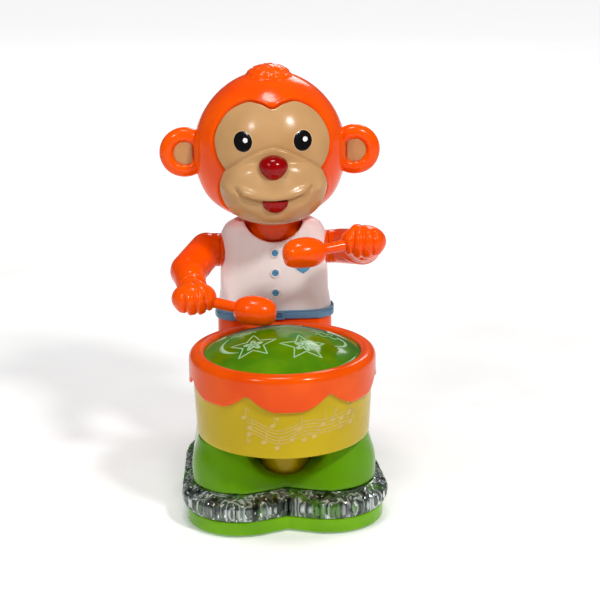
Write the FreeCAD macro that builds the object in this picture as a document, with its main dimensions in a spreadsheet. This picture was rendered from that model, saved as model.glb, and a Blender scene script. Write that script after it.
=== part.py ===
import FreeCAD, Part
import math
import os

import Sketcher

# Battery-driven drumming monkey on a rolling, light-up base.
# Frame: +Z up, the figure looks along -Y, +X is to the right of a viewer in front.
# Origin: centre of the whole toy's footprint, on the surface that its wheels stand on.

V = FreeCAD.Vector
X_AXIS = V(1, 0, 0)
Z_AXIS = V(0, 0, 1)

os.makedirs("parts", exist_ok=True)
doc = FreeCAD.newDocument("DrummingMonkey")

# ---------------------------------------------------------------- driving dimensions (mm, degrees)

SIZES = {
    # plastic walls and clearances
    "wall": 2.0,
    "gap": 0.3,
    "running_gap": 0.05,
    # two-lobed base
    "lobe_x": 22.1,
    "lobe_y": -27.5,
    "lobe_radius": 27.6,
    "lobe_slope": 21.0,
    "side_x": 47.0,
    "side_y": 20.0,
    "tail_length": 46.0,
    "tray_bottom": 1.2,
    "tray_top": 8.5,
    "ring_top": 20.0,
    "ring_bulge": 2.4,
    "ring_inset": 4.5,
    "cover_inset": 3.7,
    "cover_shoulder": 45.0,
    "cover_top": 60.0,
    "valley_radius": 22.0,
    "valley_bottom": 26.0,
    # drum
    "drum_y": -22.0,
    "drum_bottom": 45.0,
    "drum_bottom_radius": 43.3,
    "drum_top_radius": 44.9,
    "drum_shell_top": 84.0,
    "stem_radius": 13.0,
    "stem_bottom": 24.5,
    "rim_radius": 46.8,
    "rim_opening": 39.0,
    "rim_low": 70.0,
    "rim_shoulder": 84.0,
    "rim_top": 88.0,
    "rim_lobes": 7.0,
    "dome_apex": 96.0,
    "dome_edge": 86.0,
    "dome_radius": 81.0,
    # rolling gear
    "drive_y": -12.0,
    "turntable_radius": 20.0,
    "wheel_radius": 9.0,
    "wheel_width": 5.0,
    "wheel_x": 11.0,
    "axle_radius": 1.5,
    "roller_radius": 5.0,
    "roller_width": 5.0,
    # trousers and belt
    "seam_y": 36.5,
    "waist_half_width": 30.2,
    "waist_front": 10.5,
    "waist_back": 25.5,
    "waist_corner": 10.0,
    "trousers_top": 92.0,
    "belt_bottom": 88.0,
    "belt_top": 92.7,
    "door_half_width": 26.6,
    "door_bottom": 62.2,
    "door_top": 87.6,
    "door_screw_z": 85.1,
    # arms
    "shoulder_y": 36.5,
    "shoulder_z": 124.0,
    "shoulder_x": 28.9,
    "arm_radius": 9.2,
    "swing": 37.0,
    "lever_arm": 7.0,
    "lever_shaft_radius": 4.0,
    "pad_radius": 1.5,
    # arm gearing
    "cam_y": 44.0,
    "cam_z": 117.0,
    "cam_module": 0.6,
    "cam_teeth": 36.0,
    "step_teeth": 12.0,
    "motor_module": 0.5,
    "wheel_teeth": 30.0,
    "pinion_teeth": 10.0,
    # head
    "head_y": 34.0,
    "head_z": 177.1,
    "head_half_width": 37.9,
    "head_half_depth": 34.8,
    "head_half_height": 39.6,
    "head_wall": 2.4,
    "head_turn": -2.5,
    "neck_y": 38.0,
    "neck_centre_y": 43.0,
    "neck_top": 136.6,
    "neck_pin_radius": 4.0,
    "ear_x": 43.9,
    "ear_lift": -0.5,
    "ear_radius": 12.7,
    # cells
    "cell_radius": 7.25,
    "cell_length": 50.5,
    "cell_y": 39.0,
    "cell_low": 69.3,
    "cell_pitch": 15.3,
}

sheet = doc.addObject("Spreadsheet::Sheet", "Sizes")
for row, (alias, value) in enumerate(SIZES.items(), start=1):
    sheet.set(f"A{row}", alias)
    sheet.set(f"B{row}", str(value))
    sheet.setAlias(f"B{row}", alias)
doc.recompute()


def size(expression):
    """The value of an expression such as "rim_top - wall" in the sheet's aliases."""
    return float(sheet.evalExpression(with_sheet(expression)))


def with_sheet(expression):
    """Writes each alias in an expression as a reference to the sheet."""
    words = []
    for word in str(expression).replace("(", " ( ").replace(")", " ) ").split():
        words.append(f"Sizes.{word}" if word in SIZES else word)
    return " ".join(words)


# ---------------------------------------------------------------- small helpers

nodes = []


def keep(piece, label, base=V(0, 0, 0), turn=None):
    """Names a finished sub-part and places it."""
    piece.Label = label
    piece.Placement = FreeCAD.Placement(base, turn or FreeCAD.Rotation())
    nodes.append(piece)
    return piece


def shaped(label, shape, base=V(0, 0, 0), turn=None):
    """A sub-part whose form comes from Part's own functions."""
    piece = doc.addObject("Part::Feature", label)
    several = shape.ShapeType == "Compound" and len(shape.Solids) > 1
    piece.Shape = shape if several else shape.removeSplitter()
    return keep(piece, label, base, turn)


def group(label, solids):
    """Identical pieces that share one node, each a solid of its own."""
    piece = doc.addObject("Part::Feature", label)
    piece.Shape = Part.makeCompound(solids)
    return keep(piece, label)


def block(x0, x1, y0, y1, z0, z1):
    return Part.makeBox(x1 - x0, y1 - y0, z1 - z0, V(x0, y0, z0))


def rod(radius, start, end):
    """A cylinder from one point to another."""
    along = end - start
    return Part.makeCylinder(radius, along.Length, start, along)


def rod_x(radius, x0, x1, y, z):
    return rod(radius, V(x0, y, z), V(x1, y, z))


def taper(radius_a, radius_b, start, end):
    along = end - start
    return Part.makeCone(radius_a, radius_b, along.Length, start, along)


def ellipsoid(centre, half_x, half_y, half_z):
    stretch = FreeCAD.Matrix()
    stretch.scale(half_x, half_y, half_z)
    ball = Part.makeSphere(1.0).transformGeometry(stretch)
    ball.translate(centre)
    return ball


def mirrored(shape):
    return shape.mirror(V(0, 0, 0), X_AXIS)


def turned(label, corners, base):
    """A body of revolution about Z: its half profile is a sketch of (radius, height) expressions."""
    body = doc.addObject("PartDesign::Body", label)
    sketch = body.newObject("Sketcher::SketchObject", label + "_profile")
    plane = next(f for f in body.Origin.OriginFeatures if f.Role == "XZ_Plane")
    sketch.AttachmentSupport = (plane, [""])
    sketch.MapMode = "FlatFace"
    points = [V(size(r), size(z), 0) for r, z in corners]
    for index, point in enumerate(points):
        following = points[(index + 1) % len(points)]
        sketch.addGeometry(Part.LineSegment(point, following), False)
    for index in range(len(points)):
        sketch.addConstraint(Sketcher.Constraint("Coincident", index, 2, (index + 1) % len(points), 1))
    for index, (r, z) in enumerate(corners):
        pin_corner(sketch, index, "DistanceX", r, points[index].x, -2)
        pin_corner(sketch, index, "DistanceY", z, points[index].y, -1)
    turn = body.newObject("PartDesign::Revolution", label + "_turn")
    turn.Profile = sketch
    turn.ReferenceAxis = (sketch, ["V_Axis"])
    turn.Angle = 360.0
    sketch.Visibility = False
    return keep(body, label, base)


def pin_corner(sketch, index, kind, expression, value, axis):
    """Fixes one coordinate of a sketch corner, on an axis where it is zero."""
    if abs(value) < 1e-9:
        sketch.addConstraint(Sketcher.Constraint("PointOnObject", index, 1, axis))
        return
    number = sketch.addConstraint(Sketcher.Constraint(kind, -1, 1, index, 1, value))
    sketch.setExpression(f"Constraints[{number}]", with_sheet(expression))


def cylinder_x(name, radius, length, x, y, z):
    """A parametric cylinder along X, centred on x."""
    piece = doc.addObject("Part::Cylinder", name)
    piece.setExpression("Radius", with_sheet(radius))
    piece.setExpression("Height", with_sheet(length))
    base = V(x - size(length) / 2, y, z)
    piece.Placement = FreeCAD.Placement(base, FreeCAD.Rotation(Z_AXIS, X_AXIS))
    return piece


def joined(name, pieces):
    fuse = doc.addObject("Part::MultiFuse", name)
    fuse.Shapes = pieces
    return fuse


WALL = size("wall")
GAP = size("gap")

# ---------------------------------------------------------------- two-lobed base


def heart(inset, z, forward=0.0):
    """The base's outline, inset evenly: two round lobes in front, long sides and a round tail.
    Forward moves the front lobes back by that much."""
    slope = math.radians(size("lobe_slope"))
    radius = size("lobe_radius") - inset
    centre = V(size("lobe_x"), size("lobe_y") + forward, z)
    touch = centre + V(-radius * math.sin(slope), -radius * math.cos(slope), 0)
    run = touch.x / math.cos(slope)
    notch = V(0, touch.y + run * math.sin(slope), z)
    lobe_end = centre + V(radius, 0, 0)
    middle = centre + V(radius * math.cos(math.radians(55)), -radius * math.sin(math.radians(55)), 0)
    side = V(size("side_x") - inset, size("side_y"), z)
    tail_depth = size("tail_length") - inset
    tail = Part.Ellipse(V(0, side.y, z), side.x, tail_depth)
    right = [
        Part.makeLine(notch, touch),
        Part.Arc(touch, middle, lobe_end).toShape(),
        Part.makeLine(lobe_end, side),
    ]
    left = [
        Part.makeLine(V(-side.x, side.y, z), V(-lobe_end.x, lobe_end.y, z)),
        Part.Arc(V(-lobe_end.x, lobe_end.y, z), V(-middle.x, middle.y, z), V(-touch.x, touch.y, z)).toShape(),
        Part.makeLine(V(-touch.x, touch.y, z), notch),
    ]
    return Part.Wire(right + [Part.ArcOfEllipse(tail, 0, math.pi).toShape()] + left)


def heart_prism(inset, z0, z1):
    return Part.Face(heart(inset, z0)).extrude(V(0, 0, z1 - z0))


def heart_loft(sections):
    """A solid through (inset, z, forward) outlines."""
    return Part.makeLoft([heart(*section) for section in sections], True, True)


ROLLER_SPOTS = [V(-36, -22, 0), V(36, -22, 0), V(0, 50, 0)]
SCREW_SPOTS = [V(-24, -41, 0), V(24, -41, 0), V(-32, 12, 0), V(32, 12, 0)]
SWITCH_SPOT = V(34, 30, 0)


def base_tray():
    bottom = size("tray_bottom")
    floor = bottom + WALL
    top = size("tray_top")
    tray = heart_prism(0, bottom, top).cut(heart_prism(WALL, floor, top))
    roller_z = size("roller_radius")
    for spot in ROLLER_SPOTS:
        for side in (-1, 1):
            x0 = spot.x + side * 4.4
            tray = tray.fuse(block(x0 - 1, x0 + 1, spot.y - 3, spot.y + 3, floor, top))
        tray = tray.cut(block(spot.x - 3.2, spot.x + 3.2, spot.y - 6, spot.y + 6, 0, top))
        tray = tray.cut(rod_x(1.3, spot.x - 6, spot.x + 6, spot.y, roller_z))
    hole = Part.makeCylinder(size("turntable_radius") + 0.4, top, V(0, size("drive_y"), 0))
    tray = tray.cut(hole)
    for spot in SCREW_SPOTS:
        tray = tray.cut(Part.makeCylinder(1.6, top, spot))
        tray = tray.cut(Part.makeCylinder(3.1, 1.0, spot + V(0, 0, bottom)))
    s = SWITCH_SPOT
    tray = tray.cut(block(s.x - 3.8, s.x + 3.8, s.y - 1.6, s.y + 1.6, 0, floor))
    shaped("base_tray", tray)


def light_ring():
    """Clear band between tray and cover, bulging outwards."""
    low = size("tray_top")
    top = size("ring_top")
    bulge = size("ring_bulge")
    outside = heart_loft([
        (0, low, 0),
        (-bulge, low + 3.5, 0),
        (-bulge, low + 7.0, 0.3),
        (3.0, top, 3.3),
    ])
    inside = heart_prism(WALL, low, low + 3.5)
    inside = inside.fuse(heart_loft([
        (WALL, low + 3.5, 0),
        (size("ring_inset"), top, 4.0),
    ]))
    shaped("light_ring", outside.cut(inside))


def cover_block(inset):
    """The cover's outside, or its inside when inset by the wall."""
    edge = size("cover_inset") + inset
    bottom = size("ring_top")
    shoulder = size("cover_shoulder")
    top = size("cover_top") - inset
    body = heart_loft([
        (edge, bottom, 4.0),
        (edge + 3.4, shoulder, 6.0),
        (edge + 5.0, top, 8.0),
    ])
    drum_y = size("drum_y")
    seat = Part.makeCylinder(size("drum_top_radius") + 1.0 + inset, 60, V(0, drum_y, shoulder - 1.0 - inset))
    radius = size("valley_radius") + inset
    centre_z = size("valley_bottom") + size("valley_radius")
    valley = rod(radius, V(0, -90, centre_z), V(0, -14, centre_z))
    valley = valley.fuse(Part.makeSphere(radius, V(0, -14, centre_z)))
    return body.cut(seat).cut(valley)


def base_cover():
    """Upper cover: two raised feet under the drum and a seat for the trousers behind it."""
    cover = cover_block(0).cut(cover_block(WALL))
    cover = cover.cut(Part.makeCylinder(size("stem_radius") + 0.1, 60, V(0, size("drum_y"), 10)))
    cover = cover.cut(block(-18, 18, 36, 50, size("cover_top") - 2 * WALL, size("cover_top") + 1))
    floor = size("tray_bottom") + WALL
    inside = cover_block(WALL / 2)
    for spot in SCREW_SPOTS:
        low_post = Part.makeCylinder(3.2, size("ring_top") - floor, spot + V(0, 0, floor))
        high_post = Part.makeCylinder(3.2, 60, spot + V(0, 0, size("ring_top"))).common(inside)
        bore = Part.makeCylinder(1.3, 12, spot + V(0, 0, floor))
        cover = cover.fuse(low_post).fuse(high_post).cut(bore)
    shaped("base_cover", cover)


def case_screws():
    """Four identical self-tapping screws up through the tray."""
    screws = []
    head_z = size("tray_bottom") + 0.1
    for spot in SCREW_SPOTS:
        head = Part.makeCylinder(2.9, 0.9, spot + V(0, 0, head_z))
        shank = Part.makeCylinder(1.25, 10, spot + V(0, 0, head_z))
        screws.append(head.fuse(shank))
    group("case_screws", screws)


def lamp(radius, height, foot):
    """A round-topped lamp standing on its board."""
    return Part.makeCylinder(radius, height, foot).fuse(Part.makeSphere(radius, foot + V(0, 0, height)))


def lamp_spots():
    """Places on the light ring's board, spread round the base."""
    path = heart(6.8, 13.2)
    points = path.discretize(Number=11)
    return points[:-1]


def base_lamps():
    """Board that follows the ring, with its lamps soldered on."""
    board = heart_prism(size("ring_inset") + 0.6, 12.0, 13.2).cut(heart_prism(9.0, 12.0, 13.2))
    for spot in lamp_spots():
        board = board.fuse(lamp(1.6, 2.0, spot))
    shaped("base_lamp_board", board)


# ---------------------------------------------------------------- rolling gear


def drive_gearbox():
    """Cup over the turntable with a side box for the reduction gears."""
    y = size("drive_y")
    radius = size("turntable_radius") + 0.6
    floor = size("tray_bottom") + WALL
    cup = Part.makeCylinder(radius + 1.6, 20.5 - floor, V(0, y, floor))
    side = block(14, 25, y + 10, 32, floor, 20.5)
    side_inside = block(15.2, 23.8, y + 11, 30.8, floor + 1.2, 19.3)
    case = cup.fuse(side).cut(side_inside)
    case = case.cut(Part.makeCylinder(radius, 19.0 - floor, V(0, y, floor)))
    case = case.cut(Part.makeCylinder(3.05, 5, V(0, y, 17)))
    shaped("drive_gearbox", case)


def drive_motor():
    length = 25.0
    can = rod_x(10.0, 13.8 - length, 13.8, 23.0, 12.6)
    can = can.common(block(-20, 20, 10, 40, 12.6 - 7.5, 12.6 + 7.5))
    brush_cap = rod_x(3.0, 13.8 - length - 2.0, 13.8 - length, 23.0, 12.6)
    shaped("drive_motor", can.fuse(brush_cap))


def turntable():
    """Disc with a fork that holds the driven axle, turning on a pin under the gearbox roof."""
    y = size("drive_y")
    low = size("tray_bottom") + 0.6
    disc = Part.makeCylinder(size("turntable_radius"), WALL, V(0, y, low))
    fork = block(-6.5, 6.5, y - 5, y + 5, low, 15.5)
    pin = Part.makeCylinder(3.0, 4.8, V(0, y, 15.5))
    plate = disc.fuse(fork).fuse(pin)
    slot_x = size("wheel_x")
    half = size("wheel_width") / 2 + 0.6
    for side in (-1, 1):
        plate = plate.cut(block(side * slot_x - half, side * slot_x + half, y - 10, y + 10, 0, 8))
    plate = plate.cut(rod_x(size("axle_radius") + size("running_gap"), -7, 7, y, size("wheel_radius")))
    shaped("turntable", plate)


def drive_wheels():
    y = size("drive_y")
    z = size("wheel_radius")
    axle = cylinder_x("drive_axle", "axle_radius", "2 * wheel_x + wheel_width", 0, y, z)
    axle.Label = "drive_axle"
    nodes.append(axle)
    half = size("wheel_width") / 2
    wheels = []
    for side in (-1, 1):
        x = side * size("wheel_x")
        wheel = rod_x(z, x - half, x + half, y, z)
        wheel = wheel.cut(rod_x(z - 2.2, x - half, x - half + 1.2, y, z).cut(rod_x(3.2, x - half, x, y, z)))
        wheel = wheel.cut(rod_x(z - 2.2, x + half - 1.2, x + half, y, z).cut(rod_x(3.2, x, x + half, y, z)))
        wheels.append(wheel.cut(rod_x(size("axle_radius"), x - 4, x + 4, y, z)))
    group("drive_wheels", wheels)


def rollers():
    """Free rollers that carry the base's corners, each with its own stub axle."""
    names = ("roller_front_right", "roller_front_left", "roller_back")
    for name, spot in zip(names, ROLLER_SPOTS):
        z = size("roller_radius")
        tread = cylinder_x(name + "_tread", "roller_radius", "roller_width", spot.x, spot.y, z)
        stub = cylinder_x(name + "_stub", "1.25", "roller_width + 5", spot.x, spot.y, z)
        keep(joined(name, [tread, stub]), name)


def switch():
    s = SWITCH_SPOT
    floor = size("tray_bottom") + WALL
    case = block(s.x - 8, s.x + 8, s.y - 4, s.y + 4, floor, floor + 6)
    case = case.cut(block(s.x - 6.5, s.x + 6.5, s.y - 2.6, s.y + 2.6, floor, floor + 4))
    shaped("switch_case", case)
    x = s.x - 2.0
    slide = block(x - 3.5, x + 3.5, s.y - 2.3, s.y + 2.3, floor + 0.3, floor + 3.6)
    grip = block(x - 1.5, x + 1.5, s.y - 1.3, s.y + 1.3, 0.9, floor + 0.3)
    shaped("switch_knob", slide.fuse(grip))


def circuit_board():
    board = block(-18, 18, 40, 41.4, 22, 54)
    chip = rod(5, V(0, 38.6, 40), V(0, 40, 40))
    shaped("circuit_board", board.fuse(chip))


# ---------------------------------------------------------------- drum


def drum_shell():
    """Tapered shell with a floor and a hollow stem that plugs into the base cover."""
    corners = [
        ("stem_radius - wall", "stem_bottom - drum_bottom"),
        ("stem_radius", "stem_bottom - drum_bottom"),
        ("stem_radius", "0"),
        ("drum_bottom_radius", "0"),
        ("drum_top_radius", "drum_shell_top - drum_bottom - 8"),
        ("drum_top_radius", "drum_shell_top - drum_bottom"),
        ("drum_top_radius - wall", "drum_shell_top - drum_bottom"),
        ("drum_bottom_radius - wall", "wall"),
        ("stem_radius - wall", "wall"),
    ]
    turned("drum_shell", corners, V(0, size("drum_y"), size("drum_bottom")))


def drum_rim():
    """Rounded hoop with a skirt cut into hanging scallops."""
    low = size("rim_low")
    top = size("rim_top")
    shoulder = size("rim_shoulder")
    outer = size("rim_radius")
    inner = size("drum_top_radius") + GAP
    opening = size("rim_opening")
    round_r = top - shoulder
    crown = V(outer - round_r, 0, shoulder)
    quarter = Part.Arc(V(outer, 0, shoulder),
                       crown + V(round_r * math.sin(math.pi / 4), 0, round_r * math.cos(math.pi / 4)),
                       V(outer - round_r, 0, top))
    edge = [
        V(outer - round_r, 0, top), V(opening + 1, 0, top - 0.6), V(opening, 0, top - 1.6),
        V(opening, 0, size("dome_edge")), V(inner, 0, size("dome_edge")), V(inner, 0, low), V(outer, 0, low),
        V(outer, 0, shoulder),
    ]
    lines = [Part.makeLine(a, b) for a, b in zip(edge, edge[1:])]
    profile = Part.Face(Part.Wire([quarter.toShape()] + lines))
    hoop = profile.revolve(V(0, 0, 0), Z_AXIS, 360)
    count = int(size("rim_lobes"))
    step = 360.0 / count
    for index in range(count):
        angle = math.radians(-90 + step * (index + 0.5))
        hoop = hoop.cut(scallop_cut(angle, low, outer))
    shaped("drum_rim", hoop, V(0, size("drum_y"), 0))


def scallop_cut(angle, low, radius):
    """Wedge between two scallops: a rounded peak over two concave flanks."""
    across = V(-math.sin(angle), math.cos(angle), 0)
    outward = V(math.cos(angle), math.sin(angle), 0)
    start = outward * (radius - 8)
    half = radius * math.tan(math.radians(180.0 / size("rim_lobes"))) * 0.97
    rise = 7.6

    def at(u, z):
        return start + across * u + V(0, 0, z)

    def flank(side):
        return Part.Arc(at(side * half, low - 1), at(side * half * 0.42, low + 1.7), at(side * 1.6, low + rise - 0.8))

    peak = Part.Arc(at(-1.6, low + rise - 0.8), at(0, low + rise), at(1.6, low + rise - 0.8))
    left = flank(-1).toShape()
    right = flank(1).toShape()
    close = Part.makeLine(at(half, low - 1), at(-half, low - 1))
    face = Part.Face(Part.Wire(Part.sortEdges([left, peak.toShape(), right, close])[0]))
    return face.extrude(outward * 16)


def drum_dome():
    """Shallow clear head held under the rim by a flange."""
    radius = size("dome_radius")
    apex = size("dome_apex")
    edge = size("dome_edge")
    centre = V(0, 0, apex - radius)
    cap = Part.makeSphere(radius, centre).cut(Part.makeSphere(radius - 1.5, centre))
    cap = cap.common(Part.makeCylinder(size("rim_opening") - 0.15, 30, V(0, 0, edge - 3)))
    flange = Part.makeCylinder(42.0, 1.6, V(0, 0, edge - 1.6))
    flange = flange.cut(Part.makeCylinder(size("rim_opening") - 2.0, 1.6, V(0, 0, edge - 1.6)))
    rise = Part.makeCylinder(size("rim_opening") - 0.15, 3.0, V(0, 0, edge - 1.6))
    rise = rise.cut(Part.makeCylinder(size("rim_opening") - 2.0, 3.0, V(0, 0, edge - 1.6)))
    rise = rise.common(Part.makeSphere(radius, centre))
    shaped("drum_dome", cap.fuse(flange).fuse(rise), V(0, size("drum_y"), 0))


def drum_insides():
    y = size("drum_y")
    floor = size("drum_bottom") + WALL
    turned("speaker", [
        ("0", "0"), ("10", "0"), ("10", "5"), ("19", "8"), ("20", "8"), ("20", "9.5"),
        ("18", "9.5"), ("7", "6.5"), ("0", "7.5"),
    ], V(0, y, floor))
    board = Part.makeCylinder(26, 1.4, V(0, y, 64))
    for quarter in range(4):
        angle = math.radians(45 + 90 * quarter)
        foot = V(22 * math.cos(angle), y + 22 * math.sin(angle), floor)
        board = board.fuse(Part.makeCylinder(1.8, 64 - floor, foot))
    for index in range(6):
        angle = math.radians(60 * index)
        board = board.fuse(lamp(2.5, 5.0, V(17 * math.cos(angle), y + 17 * math.sin(angle), 65.4)))
    shaped("drum_lamp_board", board)


# ---------------------------------------------------------------- trousers, belt and cells


def torso_wire(half_x, front, back, corner, z):
    """Section of the body: flat front with round corners, half an ellipse behind the side seams."""
    seam = size("seam_y")
    face_y = seam - front
    bend_y = face_y + corner
    right = V(half_x - corner, bend_y, z)
    slant = corner * math.sqrt(0.5)
    back_curve = Part.Ellipse(V(0, seam, z), half_x, back)
    return Part.Wire([
        Part.makeLine(V(-right.x, face_y, z), V(right.x, face_y, z)),
        Part.Arc(V(right.x, face_y, z), right + V(slant, -slant, 0), V(half_x, bend_y, z)).toShape(),
        Part.makeLine(V(half_x, bend_y, z), V(half_x, seam, z)),
        Part.ArcOfEllipse(back_curve, 0, math.pi).toShape(),
        Part.makeLine(V(-half_x, seam, z), V(-half_x, bend_y, z)),
        Part.Arc(V(-half_x, bend_y, z), V(-right.x - slant, bend_y - slant, z), V(-right.x, face_y, z)).toShape(),
    ])


def waist_prism(inset, z0, z1):
    wire = torso_wire(size("waist_half_width") - inset, size("waist_front") - inset,
                      size("waist_back") - inset, size("waist_corner") - inset, z0)
    return Part.Face(wire).extrude(V(0, 0, z1 - z0))


def front_of(y):
    return block(-80, 80, -80, y, -10, 240)


def door_window(spread):
    """The battery opening in the back of the trousers, below the belt."""
    half = size("door_half_width") + spread
    return block(-half, half, 42, 80, size("door_bottom") - spread, size("door_top") + spread)


def trousers():
    bottom = size("cover_top")
    top = size("trousers_top")
    tube = waist_prism(0, bottom, top).cut(waist_prism(WALL, bottom, top))
    middle = front_of(size("seam_y"))
    shaped("trousers_front", tube.common(middle))
    back_y = size("seam_y + waist_back")
    boss = block(-4, 4, back_y - 7, back_y - WALL - 0.4, 82.4, top)
    boss = boss.fuse(block(-4, 4, back_y - WALL - 0.5, back_y - 1.0, 90.0, top))
    screw_z = size("door_screw_z")
    back = tube.cut(middle).cut(door_window(0.25)).fuse(boss)
    shaped("trousers_back", back.cut(rod(1.25, V(0, 50, screw_z), V(0, 70, screw_z))))
    door = tube.common(door_window(0)).cut(rod(1.3, V(0, 50, screw_z), V(0, 70, screw_z)))
    shaped("battery_door", door)
    head = rod(2.4, V(0, back_y, screw_z), V(0, back_y + 0.9, screw_z))
    shank = rod(1.2, V(0, back_y - 6, screw_z), V(0, back_y, screw_z))
    shaped("door_screw", head.fuse(shank))


def belt():
    low = size("belt_bottom")
    top = size("belt_top")
    band = waist_prism(-1.2, low, top).cut(waist_prism(-0.1, low, top))
    shaped("belt", band)
    front = size("seam_y - waist_front") - 1.2
    frame = block(-4.5, 4.5, front - 1.1, front, low + 0.2, top - 0.2)
    frame = frame.cut(block(-3.2, 3.2, front - 1.1, front, low + 1.3, top - 1.3))
    tongue = block(-3.2, 4.5, front - 0.7, front, low + 1.9, top - 1.9)
    shaped("belt_buckle", frame.fuse(tongue))


def battery_box():
    y = size("cell_y")
    box = block(-27, 27, 33, 42, 60.8, 88.0).cut(block(-26, 26, 30, 45, 61.8, 90))
    box = box.fuse(block(-23, 23, 30.2, 31.4, 60.8, 88.0)).fuse(block(-23, 23, 30.2, 42, 60.8, 61.8))
    shaped("battery_box", box)
    cells = []
    plates = []
    half = size("cell_length") / 2
    for number in range(2):
        z = size("cell_low") + number * size("cell_pitch")
        nose_side = 1 - 2 * number
        can = rod_x(size("cell_radius"), -nose_side * half, nose_side * (half - 1.5), y, z)
        cells.append(can.fuse(rod_x(2.7, nose_side * (half - 1.5), nose_side * half, y, z)))
        for x0 in (-25.9, 25.4):
            plates.append(block(x0, x0 + 0.5, y - 4, y + 2.5, z - 4, z + 4))
    group("cells", cells)
    group("battery_contacts", plates)


# ---------------------------------------------------------------- vest and neck


def vest_solid(inset):
    """Torso: wide at the belt, straight sides, rounded shoulders."""
    sections = [
        (30.2, 10.5, 25.5, 10.0, 92.0),
        (28.6, 10.5, 24.5, 10.0, 102.0),
        (28.3, 10.5, 24.0, 10.0, 114.0),
        (28.2, 10.3, 23.5, 9.8, 126.0),
        (27.6, 9.6, 22.0, 9.2, 133.0),
        (25.2, 8.2, 19.0, 7.8, 137.5),
        (20.5, 6.0, 15.0, 5.6, 140.0),
    ]
    wires = []
    for half_x, front, back, corner, z in sections:
        drop = inset if z > 130 else 0.0
        wires.append(torso_wire(half_x - inset, front - inset, back - inset, corner - inset, z - drop))
    return Part.makeLoft(wires, True, True)


def vest():
    shell = vest_solid(0).cut(vest_solid(WALL))
    shell = shell.cut(rod(17.0, V(0, -10, 146.5), V(0, 90, 146.5)))
    y = size("shoulder_y")
    z = size("shoulder_z")
    for side in (-1, 1):
        shell = shell.fuse(rod_x(6.5, side * 21, side * 27.0, y, z))
    shell = shell.cut(rod_x(size("lever_shaft_radius") + size("running_gap"), -40, 40, y, z))
    middle = front_of(y)
    shaped("vest_front", shell.common(middle))
    shaped("vest_back", shell.cut(middle))
    face_y = y - size("waist_front")
    buttons = []
    for number in range(3):
        button_z = 124.0 - 10.8 * number
        buttons.append(rod(2.3, V(0, face_y - 0.9, button_z), V(0, face_y + 1.0, button_z)).cut(vest_solid(0)))
    group("vest_buttons", buttons)


def neck():
    """Plug in the collar, with a bore for the head's pin."""
    low = 129.0
    top = size("neck_top")
    y = size("neck_centre_y")

    def oval(grow, z0, z1):
        ring = Part.Ellipse(V(0, y, z0), 16.3 + grow, 13.0 + grow).toShape()
        return Part.Face(Part.Wire(ring)).extrude(V(0, 0, z1 - z0))

    free = vest_solid(WALL + 0.1).fuse(rod(16.9, V(0, -10, 146.5), V(0, 90, 146.5)))
    plug = oval(0, low, top).common(free)
    plug = plug.cut(oval(-WALL, low, top - WALL))
    plug = plug.cut(Part.makeCylinder(size("neck_pin_radius") + size("running_gap"), 20, V(0, size("neck_y"), low)))
    shaped("neck", plug)


# ---------------------------------------------------------------- arm gearing


def gear_face(teeth, module):
    """Involute spur gear outline, a tooth centred on +Y, in the YZ plane."""
    pressure = math.radians(20)
    pitch = teeth * module / 2
    base = pitch * math.cos(pressure)
    tip = pitch + 0.9 * module
    root = pitch - 1.2 * module
    half_tooth = math.pi / (2 * teeth) - 0.06 / pitch
    flank_start = max(base, root)

    def half_angle(radius):
        roll = math.acos(min(1.0, base / radius))
        return half_tooth + (math.tan(pressure) - pressure) - (math.tan(roll) - roll)

    radii = [flank_start + (tip - flank_start) * k / 3 for k in range(4)]
    points = []
    for tooth in range(teeth):
        centre = 2 * math.pi * tooth / teeth
        points.append((root, centre - half_angle(flank_start)))
        points += [(r, centre - half_angle(r)) for r in radii]
        points += [(r, centre + half_angle(r)) for r in reversed(radii)]
        points.append((root, centre + half_angle(flank_start)))
    outline = [V(0, r * math.cos(a), r * math.sin(a)) for r, a in points]
    clean = [p for p, q in zip(outline, outline[1:] + outline[:1]) if (p - q).Length > 1e-6]
    return Part.Face(Part.makePolygon(clean + clean[:1]))


def gear(teeth, module, x0, x1, y, z, turn):
    """Gear between two X planes, its first tooth turned from +Y by an angle about +X."""
    solid = gear_face(int(teeth), module).extrude(V(x1 - x0, 0, 0))
    solid.rotate(V(0, 0, 0), X_AXIS, turn)
    solid.translate(V(x0, y, z))
    return solid


def centre_distance(teeth_a, teeth_b, module):
    return (teeth_a + teeth_b) * module / 2 + 0.05


CAM = V(0, size("cam_y"), size("cam_z"))
STEP_SPACING = centre_distance(size("cam_teeth"), size("step_teeth"), size("cam_module"))
STEP_SET_BACK = 2.5
STEP = V(0, CAM.y - STEP_SET_BACK, CAM.z - math.sqrt(STEP_SPACING ** 2 - STEP_SET_BACK ** 2))
MOTOR_SPACING = centre_distance(size("wheel_teeth"), size("pinion_teeth"), size("motor_module"))
MOTOR_SET_BACK = 7.9
MOTOR = V(0, STEP.y - MOTOR_SET_BACK, STEP.z - math.sqrt(MOTOR_SPACING ** 2 - MOTOR_SET_BACK ** 2))


def bearing_angle(start, end):
    """Direction from one axis to another, in degrees from +Y about +X."""
    return math.degrees(math.atan2(end.z - start.z, end.y - start.y))


def gap_angle(teeth):
    return 180.0 / teeth


def gear_frame():
    """Two side plates on pillars, with a bearing hole for each shaft."""
    frame = block(5, 7, 29.2, 50.5, 93.5, 122.5).fuse(block(-7, -5, 29.2, 50.5, 93.5, 122.5))
    for y, z in ((30.9, 121.0), (31.5, 106.5), (48.8, 95.2)):
        frame = frame.fuse(rod_x(1.5, -7, 7, y, z))
    frame = frame.cut(rod_x(size("axle_radius") + size("running_gap"), -8, 8, CAM.y, CAM.z))
    frame = frame.cut(rod_x(1.0 + size("running_gap"), -8, 8, STEP.y, STEP.z))
    frame = frame.cut(rod_x(1.6, -8, 0, MOTOR.y, MOTOR.z))
    shaped("gear_frame", frame)


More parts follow.
